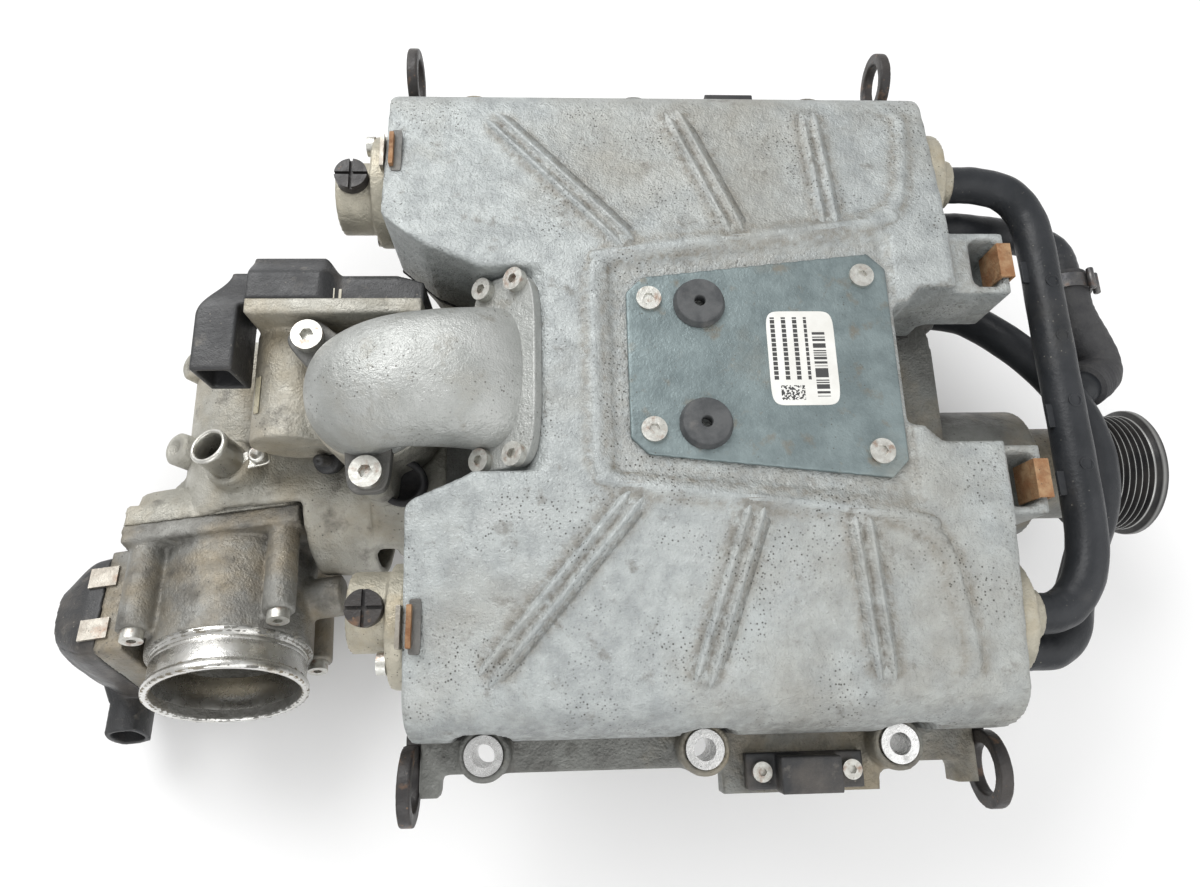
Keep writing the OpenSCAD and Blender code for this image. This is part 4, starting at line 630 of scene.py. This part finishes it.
shapers = {"bypass_cover": shapeBypassCover, "throttle_cover": shapeThrottleCover}
for nodeName, (voxel, rounds, finish, slotName) in castings.items():
    shaped = castCopy(nodeName, voxel, rounds)
    if nodeName in shapers:
        setPoints(shaped, shapers[nodeName](meshPoints(shaped) / mm) * mm)
    piece = finishPiece(pieceNameOf(nodeName, "Cast"), shaped, finish)
    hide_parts(nodeName)
print("castings rounded:", len(castings))

# Elbow between the bypass valve and the cover

elbow = {
    "route": [(-144, -5, 44.5), (-144, -5, 50), (-142.5, -5, 56.5), (-137, -4.7, 63), (-127, -4, 67.6),
    (-114, -3.4, 68.6),
              (-101, -3, 68), (-91, -2.6, 65.6), (-83.5, -2.2, 61.5), (-79, -2, 57.5)],
    "wide": [30, 30, 30, 30.2, 30.8, 31.5, 32.5, 33.6, 35.2, 36], "high": [30, 30, 29, 26, 22.6, 21.9, 21.6,
    20.6, 19.6, 19.4],
    "sides": 96, "steps": 150, "square": 2.35, "wall": 3.6,
    "seat": (-59, 0, 77), "tilt": 35.0, "flange": [(-41, -47), (-41, 47), (-3.2, 47), (-3.2, -47)],
    "flangeThick": 6.0,
}


# A rounded oval carried from the valve's mouth up, over and down into the tilted seat, its side always
# across the engine.
def elbowSurface():
    route = smoothRoute(np.array(elbow["route"], float), elbow["steps"])
    keys = np.linspace(0, 1, len(elbow["wide"]))
    t = np.linspace(0, 1, len(route))
    wide, high = np.interp(t, keys, elbow["wide"]), np.interp(t, keys, elbow["high"])
    turn = np.linspace(0, 2 * math.pi, elbow["sides"], endpoint=False)
    c, q = np.cos(turn), np.sin(turn)
    power = 2 / np.interp(t, [0, 0.3, 0.6, 1], [2, 2, elbow["square"], elbow["square"]])[:, None]
    run = np.gradient(route, axis=0)
    run /= np.linalg.norm(run, axis=1, keepdims=True)
    side = np.tile([0.0, -1.0, 0.0], (len(route), 1))
    up = np.cross(side, run)
    skins = []
    for wall in (0, elbow["wall"]):
        across = np.sign(c) * np.abs(c) ** power * (wide[:, None] - wall)
        rise = np.sign(q) * np.abs(q) ** power * (high[:, None] - wall)
        rise = np.where((rise < 0) & (t[:, None] > 0.12) & (t[:, None] < 0.5), rise * 0.86, rise)
        skins.append(route[:, None] + across[..., None] * side[:, None] + rise[..., None] * up[:, None])
    points = np.concatenate([skins[0][::-1], skins[1]])
    piece = finishPiece("elbowRun", meshOf("elbowRun", points * mm, loopFaces(len(points), elbow["sides"])),
        "elbowAlloy")
    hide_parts("elbow_pipe")


# A flat plate with rounded corners and softened rims, as a stack of outlines drawn in towards each face.
def roundedPlate(name, corners, thick, radius, place, turnY, finish, chamfer=0.8):
    c = np.array(corners, float)
    mid = c.mean(0)
    dense = np.concatenate([np.linspace(a, b, 24, endpoint=False) for a, b in zip(c, np.roll(c, -1, 0))])
    for _ in range(3):
        near = int(radius / 2)
        dense = sum(np.roll(dense, k, 0) for k in range(-near, near + 1)) / (2 * near + 1)
    levels = np.array([[0, chamfer], [chamfer * 0.3, chamfer * 0.3], [chamfer, 0], [thick - chamfer, 0],
                       [thick - chamfer * 0.3, chamfer * 0.3], [thick, chamfer]])
    out = dense - mid
    size = np.linalg.norm(out, axis=1, keepdims=True)
    rings = [np.column_stack([mid + out * (1 - inset / size), np.full(len(dense), z)]) for z, inset in levels]
    points = np.array(rings)
    a = math.radians(turnY)
    x, z = points[..., 0].copy(), points[..., 2].copy()
    points[..., 0] = x * math.cos(a) - z * math.sin(a)
    points[..., 2] = x * math.sin(a) + z * math.cos(a)
    points += np.array(place, float)
    faces = ringFaces(len(levels), len(dense))
    area = np.sum(c[:, 0] * np.roll(c[:, 1], -1) - np.roll(c[:, 0], -1) * c[:, 1])
    if area < 0:
        faces = [q[::-1] for q in faces]
    piece = finishPiece(name, meshOf(name, points * mm, faces), finish, smooth=False)
    return piece


elbowSurface()
roundedPlate("elbowFlange", elbow["flange"], elbow["flangeThick"], 8, elbow["seat"], elbow["tilt"],
    "elbowAlloy")
for ear, (x, y) in enumerate(((-174, 24), (-143, -43.5))):
    hub = np.array([-144.0, -5.0])
    tip = np.array([x, y], float)
    way = (tip - hub) / np.linalg.norm(tip - hub)
    across = np.array([-way[1], way[0]]) * 9.4
    corners = [hub + way * 18 - across * 1.25, tip + way * 9 - across, tip + way * 9 + across,
        hub + way * 18 + across * 1.25]
    roundedPlate("elbowEar%d" % ear, corners, 6, 9, (0, 0, 45), 0, "darkCastAndSlotShade")
print("elbow swept")

# Turned pieces: a closed outline of (along, radius) spun about an axis


# Each outline point makes a ring about the axis.
def spunPoints(outline, origin, axis, sides):
    axis = np.array(axis, float)
    axis /= np.linalg.norm(axis)
    first = np.cross(axis, [0.0, 0.0, 1.0] if abs(axis[2]) < 0.9999 else [0.0, 1.0, 0.0])
    first /= np.linalg.norm(first)
    second = np.cross(axis, first)
    turn = np.linspace(0, 2 * math.pi, sides, endpoint=False)
    ring = np.cos(turn)[:, None] * first + np.sin(turn)[:, None] * second
    outline = np.array(outline, float)
    return np.array(origin, float) + outline[None, :, :1] * axis + outline[None, :, 1:] * ring[:, None]


def spunPiece(name, outline, origin, axis, finish, body="module", sides=128):
    points = spunPoints(outline, origin, axis, sides)
    count = len(outline)
    i, j = np.meshgrid(np.arange(sides), np.arange(count), indexing="ij")
    m, k = (i + 1) % sides, (j + 1) % count
    faces = np.stack([i * count + j, m * count + j, m * count + k, i * count + k], -1).reshape(-1, 4).tolist()
    area = sum(a[0] * b[1] - b[0] * a[1] for a, b in zip(outline, outline[1:] + outline[:1]))
    if area > 0:
        faces = [q[::-1] for q in faces]
    return finishPiece(name, meshOf(name, points * mm, faces), finish, body)


pulley = {"axis": (245.6, -28, -31.5), "grooves": 6, "pitch": 3.56, "radius": 33.0, "deep": 2.6,
    "wall": 27.2, "first": 3.0}


# Rim outline: round-topped ribs and V grooves, then the front lip, then back along the bore, hub and web.
def grooveOutline():
    t = np.linspace(0, pulley["grooves"], pulley["grooves"] * 12 + 1)
    wave = 0.5 - 0.5 * np.cos(2 * math.pi * t)
    rim = [(pulley["first"] + u * pulley["pitch"], pulley["radius"] - pulley["deep"] * w ** 0.8) for u,
        w in zip(t, wave)]
    end = pulley["first"] + pulley["grooves"] * pulley["pitch"]
    lip = [(end + 1, 33), (end + 2.2, 35.4), (end + 3, 36), (end + 5, 36), (end + 6, 35.2), (end + 7, 32.6),
        (end + 7, 28.2)]
    inner = [(24.5, 27.4), (24, 26), (24, 15), (28.2, 13.6), (28.4, 8.8), (17.6, 8.8), (17.4, 14),
        (17.4, 26), (16.5, 27.4), (0.6, 27.4), (0, 28.2), (0, 32.4), (0.6, 33)]
    return rim + lip + inner, len(rim)


outline, rimCount = grooveOutline()
pulleyPiece = spunPiece("pulleyWheel", outline, pulley["axis"], (1, 0, 0), "pulleyBlack", "drive_rotor")
radii = np.array([q[1] for q in outline])
crest = 0.75 * np.clip((radii - 32.82) / 0.16, 0, 1) * (np.arange(len(outline)) < rimCount)
crest[rimCount + 2] = 0.35
setMask(pulleyPiece.data, "worn", np.tile(crest, 128))
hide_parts("pulley")

collar = [(-20.5, 40.8), (-19, 38.3), (-17.6, 38.15), (-17.2, 37.9), (-16.8, 38.15), (-15.4, 38.15),
    (-15, 37.9), (-14.6, 38.15),
          (-6, 38.15), (-5, 38.4), (-4.2, 39.6), (-3.2, 39.98), (-1.2, 39.98), (-0.3, 39.4), (0, 38.6),
          (0, 37.2), (-0.6, 36.2),
          (-8, 35.9), (-24, 35.85), (-24, 36.6), (-21, 37.5)]
spigotPiece = spunPiece("throttleCollar", collar, throttle["mouth"], throttleFrame[:, 2], "turnedSpigot",
    sides=160)
nozzleBase, nozzleTip = np.array([-225.05, -24.5, 4.7]), np.array([-230.0, -20.0, 20.0])
nozzleLong = float(np.linalg.norm(nozzleTip - nozzleBase))
nozzleShape = [(0, 9.9), (nozzleLong - 3.4, 9.6), (nozzleLong - 2.8, 10), (nozzleLong - 1, 10),
    (nozzleLong, 9.3), (nozzleLong, 8.2),
               (nozzleLong - 1, 7.6), (0, 7.5)]
nozzlePiece = spunPiece("inletNozzle", nozzleShape, nozzleBase, nozzleTip - nozzleBase, "nozzleAlloy")
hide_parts("inlet_nozzle")

# Small fittings round the inlet casting

fittings = {
    "lugs": [((-256, 38, -24), (-0.6, 0.1, 1), 9.5), ((-258, -12, -20), (-0.6, 0.1, 1), 9.5)],
    "eye": {"from": (-222, -27), "to": (-208, -23), "half": 4.2, "z": 6.0},
    "tag": ((-2.2, -9), (2.2, 10), (-201.6, 0, 35.6), 43),
    "bolt": (-175.5, -24), "port": (-133, -39.5),
}
for count, (place, way, radius) in enumerate(fittings["lugs"]):
    shape = [(-9, radius), (5, radius - 0.6), (6.4, radius - 2), (6.6, 4.2), (-3, 4.0), (-3, 0.1), (-9, 0.1)]
    spunPiece("adapterLug%d" % count, shape, place, way, "valveCasting", sides=48)
start, stop = np.array(fittings["eye"]["from"], float), np.array(fittings["eye"]["to"], float)
way = (stop - start) / np.linalg.norm(stop - start)
across = np.array([-way[1], way[0]]) * fittings["eye"]["half"]
roundedPlate("nozzleBracket", [start - across, stop + way * 5 - across * 1.2, stop + way * 5 + across * 1.2,
    start + across], 2.2, 7,
             (0, 0, fittings["eye"]["z"]), 0, "nozzleAlloy")
bolt = [(-8, 2.6), (2.2, 2.6), (2.2, 4.4), (5.4, 4.2), (5.6, 2.6), (3.6, 2.2), (3.6, 0.1), (-8, 0.1)]
spunPiece("nozzleBolt", bolt, (stop[0], stop[1], 8), (0, 0, 1), "zincScrew", sides=24)
blackBolt = [(-12, 7), (0, 7), (1, 6), (1, 3.2), (15, 3.0), (16, 2.4), (16, 0.1), (-12, 0.1)]
spunPiece("sensorStud", blackBolt, (*fittings["bolt"], 2), (0.0, -0.25, 1), "coverPlastic",
    sides=40)
portTube = [(-16, 12), (8, 12), (9.4, 11.2), (9.8, 9.8), (9.2, 8.6), (-2, 8.4), (-2, 0.1), (-16, 0.1)]
spunPiece("rubberPort", portTube, (*fittings["port"], 14), (0.12, -0.2, 1), "hoseRubber", sides=64)
neck = {
    "rings": [(-104, 41, 8), (-102, 43.6, 8), (-96, 44.4, 8), (-95, 45.3, 8), (-83, 45.3, 8),
    (-82.3, 44.6, 8),
              (-82.3, 37.5, 2), (-104, 37.5, 2)],
    "sides": 96,
}


# A squared flange with a round bore between the inlet casting and the throttle:
# each ring is a superellipse of (height, half width, power)
def addNeck(setup):
    turn = np.linspace(0, 2 * math.pi, setup["sides"], endpoint=False)
    c, q = np.cos(turn), np.sin(turn)
    rings = []
    for z, half, power in setup["rings"]:
        size = half / (np.abs(c) ** power + np.abs(q) ** power) ** (1 / power)
        ring = np.column_stack([c * size, q * size, np.full(setup["sides"], float(z))])
        rings.append(ring @ throttleFrame.T + throttle["mouth"])
    mesh = meshOf("adapterNeck", np.array(rings) * mm, loopFaces(len(rings), setup["sides"]))
    finishPiece("adapterNeck", mesh, "valveCasting")


addNeck(neck)
(x0, y0), (x1, y1), spot, lean = fittings["tag"]
roundedPlate("motorTag", [(x0, y0), (x1, y0), (x1, y1), (x0, y1)], 0.5, 3, spot, lean, "tagBrass",
    0.15)

# Slots in the cover's rear corners, each a near-black plate of painted shade standing for the dark opening,
# with a rusted strip and a bright one

for side, x, y0, y1 in ((1, -132.5, 103, 126), (-1, -115.5, -126, -103)):
    z = float(coverTop(np.array([114.5]))[0]) - 0.9
    # A near-black plate: painted shade standing for the slot's opening.
    roundedPlate("rearSlotShade%s" % ("Left" if side > 0 else "Right"),
        [(x - 2.6, y0), (x + 2.6, y0), (x + 2.6, y1), (x - 2.6, y1)], 1.4, 4,
                 (0, 0, z), 0, "darkCastAndSlotShade", 0.3)
    mid = (y0 + y1) / 2
    for name, shift, half, finish, rise in (("rearStrip", -2.2, 1.1, "rustySpring", 3.0),
        ("rearClip", -7.0, 1.0, "springClip", 1.0)):
        low = x + shift
        roundedPlate(name + ("Left" if side > 0 else "Right"),
            [(low - half, mid - 9), (low + half, mid - 9), (low + half, mid + 9), (low - half, mid + 9)],
                     rise + 7, 2, (0, 0, z - 6), 0, finish, 0.3)
print("turned pieces and fittings made")

# Raised lip round the plate recess and the front panels


# A rounded bead carried round the recess and on round each front panel, laid on the cover's slope.
def coverLips():
    outline = np.array([(-4.2, -0.6), (-2.8, 0.2), (-1.8, 1.0), (-0.8, 1.5), (0, 1.6), (0.8, 1.5),
        (1.8, 1.0), (2.8, 0.2), (4.2, -0.6), (3.2, -2.6), (-3.2, -2.6)]) * mm
    points, faces = [], []
    for side in (1, -1):
        flat = smoothRoute(np.array(cover["ridge"], float), cover["lipSteps"])
        height = coverTop(flat[:, 1]) - 0.15 - np.clip(flat[:, 1] - 134, 0, None) ** 2 * 0.04
        route = np.column_stack([flat[:, 0], side * flat[:, 1], height]) * mm
        if side < 0:
            route = route[::-1]
        rings = profileAlong(route, outline)
        faces += ringFaces(len(route), len(outline), sum(len(q) for q in points))
        points.append(rings.reshape(-1, 3))
    mesh = meshOf("coverLips", np.vstack(points), faces)
    # Grime mixed with painted shade at the bead's feet, where it meets the cover; the near-black painted
    # shade mask is left empty.
    setMask(mesh, "soil", np.tile(np.array([1, 0.7, 0.2, 0, 0, 0, 0.2, 0.7, 1, 0, 0.0]),
        2 * cover["lipSteps"]))
    setMask(mesh, "dirt", np.zeros(len(mesh.vertices)))
    finishPiece("coverLips", mesh, "castCover")


coverLips()

# Label on the plate: plain bars that stand for print

label = {"low": (41.5, -21.0), "high": (73.0, 25.0), "base": 76.7, "thick": 0.35}


def labelFinish():
    mat, tree, shader, coord = newFinish("labelPaper")
    split = tree.nodes.new("ShaderNodeSeparateXYZ")
    tree.links.new(coord, split.inputs[0])

    # 1 inside a repeated stripe of that period, in millimetres.
    def wave(axis, period, low, high):
        scaled = times(tree, split.outputs[axis], 1000.0 / period)
        part = tree.nodes.new("ShaderNodeMath")
        part.operation = "FRACT"
        tree.links.new(scaled, part.inputs[0])
        return window(part.outputs[0], low, high)

    def window(value, low, high):
        out = None
        for edge, kind in ((low, "GREATER_THAN"), (high, "LESS_THAN")):
            node = tree.nodes.new("ShaderNodeMath")
            node.operation = kind
            tree.links.new(value, node.inputs[0])
            node.inputs[1].default_value = edge
            out = node.outputs[0] if out is None else times(tree, out, node.outputs[0])
        return out

    x, y = split.outputs[0], split.outputs[1]
    dashes = times(tree, wave(1, 2.3, 0.18, 1.0), window(y, -0.009, 0.022))
    rows = times(tree, wave(0, 5.2, 0.35, 0.75), window(x, 0.0432, 0.0605))
    strip = times(tree, times(tree, noiseMask(tree, coord, 900, 0.47, 0.5, 0.0, (0, 1, 0)),
        window(x, 0.0625, 0.0685)), window(y, -0.017, 0.015))
    block = times(tree, times(tree, window(x, 0.046, 0.057), window(y, -0.0185, -0.0115)),
        noiseMask(tree, coord, 1200, 0.47, 0.5, 0.0))
    colour = tint(tree, noiseMask(tree, coord, 40, 0.4, 0.7), (0.74, 0.74, 0.71), (0.62, 0.61, 0.57))
    for ink in (times(tree, dashes, rows), strip, block):
        colour = tint(tree, ink, colour, (0.05, 0.05, 0.05))
    tree.links.new(colour, shader.inputs["Base Color"])
    shader.inputs["Roughness"].default_value = 0.42
    return mat


(x0, y0), (x1, y1) = label["low"], label["high"]
roundedPlate("plateLabel", [(x0, y0), (x1, y0), (x1, y1), (x0, y1)], label["thick"], 5,
    (0, 0, label["base"]), 0,
    labelFinish(), 0.1)
print("label laid")

# Coolant pipes and the branch hose

pipes = {
    "upper_coolant_pipe": {"route": [(147, 113, 45), (158, 113, 45), (170, 112.6, 45), (185, 108, 45),
    (194, 96, 45), (197, 78, 45),
        (197, 40, 45), (197, 0, 45), (197, -40, 45), (196, -76, 45), (191, -96, 45), (182, -108, 45),
        (173, -112.6, 45),
        (166, -113, 45), (157, -113, 45)], "radius": 9.4, "finish": "pipePlastic", "slot": "pipe_plastic"},
    "lower_coolant_pipe": {"route": [(151, 62, -6), (158, 62, -6), (164, 61, -5), (177, 54, 2),
    (192, 38, 10), (209, 18, 14),
        (222, -5, 16), (228, -30, 16), (225, -55, 16), (213, -80, 16), (202, -103, 17), (194, -120, 21),
        (183, -128, 24),
        (174, -129, 24), (166, -129, 24), (157, -129, 24)], "radius": 9.4, "finish": "pipePlastic",
        "slot": "pipe_plastic"},
    "branch_pipe": {"route": [(147, 99, 22), (158, 99, 22), (170, 99, 22), (200, 99, 16), (218, 98, 11),
    (229, 92, 10),
        (232, 82, 10), (232, 72, 10), (232, 62, 10)], "radius": 9.4, "finish": "pipePlastic",
        "slot": "pipe_plastic"},
    "branch_hose": {"route": [(232, 76, 10), (232, 69, 10), (232, 62, 10), (234, 52, 9), (240, 42, 6),
    (246, 32, 3), (247, 22, 3),
        (243, 17.3, 4.8), (238, 14, 7), (233, 10.7, 9.3)], "radius": 12.2, "finish": "hoseRubber",
        "slot": "hose_rubber"},
}
for nodeName, spec in pipes.items():
    route = smoothRoute(np.array(spec["route"], float) * mm, 220)
    outline = roundOutline(spec["radius"] * mm, 40)
    t = np.linspace(0, 1, len(route))
    swell = np.ones(len(route)) + 0.012 * np.sin(t * 37) * np.sin(t * 91)
    rings = profileAlong(route, outline, scale=swell)
    mesh = meshOf(nodeName, rings, ringFaces(len(route), len(outline)))
    piece = finishPiece(pieceNameOf(nodeName, "Run"), mesh, spec["finish"])
    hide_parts(nodeName)
stubShape = [(0, 9.2), (22, 9.2), (23, 8.4), (23, 0.1), (0, 0.1)]
spunPiece("pipeStub", stubShape, (220, 2, 15), (18, 12, -8), "pipePlastic", sides=48)
for count, degrees in enumerate((28, 62)):
    x, z = 232 + 15.6 * math.cos(math.radians(degrees)), 10 + 15.6 * math.sin(math.radians(degrees))
    earShape = [(0, 1.5), (0.4, 1.9), (11.6, 1.9), (12, 1.5), (12, 0.1), (0, 0.1)]
    spunPiece("clampEar%d" % count, earShape, (x, 63, z), (0, 1, 0.001), "darkSteel", sides=20)
tabs = {"upper": [(188.5, 60, 45), (188.5, -18, 45), (188, -52, 45)], "size": (3.2, 6.0, 2.0)}
for count, (x, y, z) in enumerate(tabs["upper"]):
    dx, dy, dz = tabs["size"]
    roundedPlate("pipeTab%d" % count, [(x - dx, y - dy), (x + dx, y - dy), (x + dx, y + dy),
        (x - dx, y + dy)], dz, 3, (0, 0, z + 1.5), 0,
                 "pipePlastic", 0.4)
marks = [(197, 52, 54.1), (197, 22, 54.1), (197, -12, 54.1), (196.8, -44, 54.1)]
for count, place in enumerate(marks):
    ring = [(-0.6, 3.4), (0.28, 3.4), (0.4, 3.2), (0.4, 2.7), (0.28, 2.5), (-0.6, 2.5)]
    spunPiece("pipeMark%d" % count, ring, place, (0, 0.001, 1), "pipePlastic", sides=40)
print("pipes run")

# Floor

floorSetup = {"half": 3.0, "drop": 0.0005}


def addFloor(setup):
    z = cadBox[0][2] - setup["drop"]
    h = setup["half"]
    mesh = meshOf("floor", [(-h, -h, z), (h, -h, z), (h, h, z), (-h, h, z)], [[0, 1, 2, 3]])
    mat, tree, shader, coord = newFinish("paleFloor")
    shader.inputs["Base Color"].default_value = (*([lightSetup["floorTone"]] * 3), 1)
    shader.inputs["Roughness"].default_value = 0.9
    mesh.materials.append(mat)
    floor = bpy.data.objects.new("floor", mesh)
    bpy.context.scene.collection.objects.link(floor)
    floor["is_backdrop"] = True


addFloor(floorSetup)
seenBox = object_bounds()
sizes = {"cad": cadBox, "visual": seenBox}
sizes = {name: [[float(v) for v in corner] for corner in box] for name, box in sizes.items()}
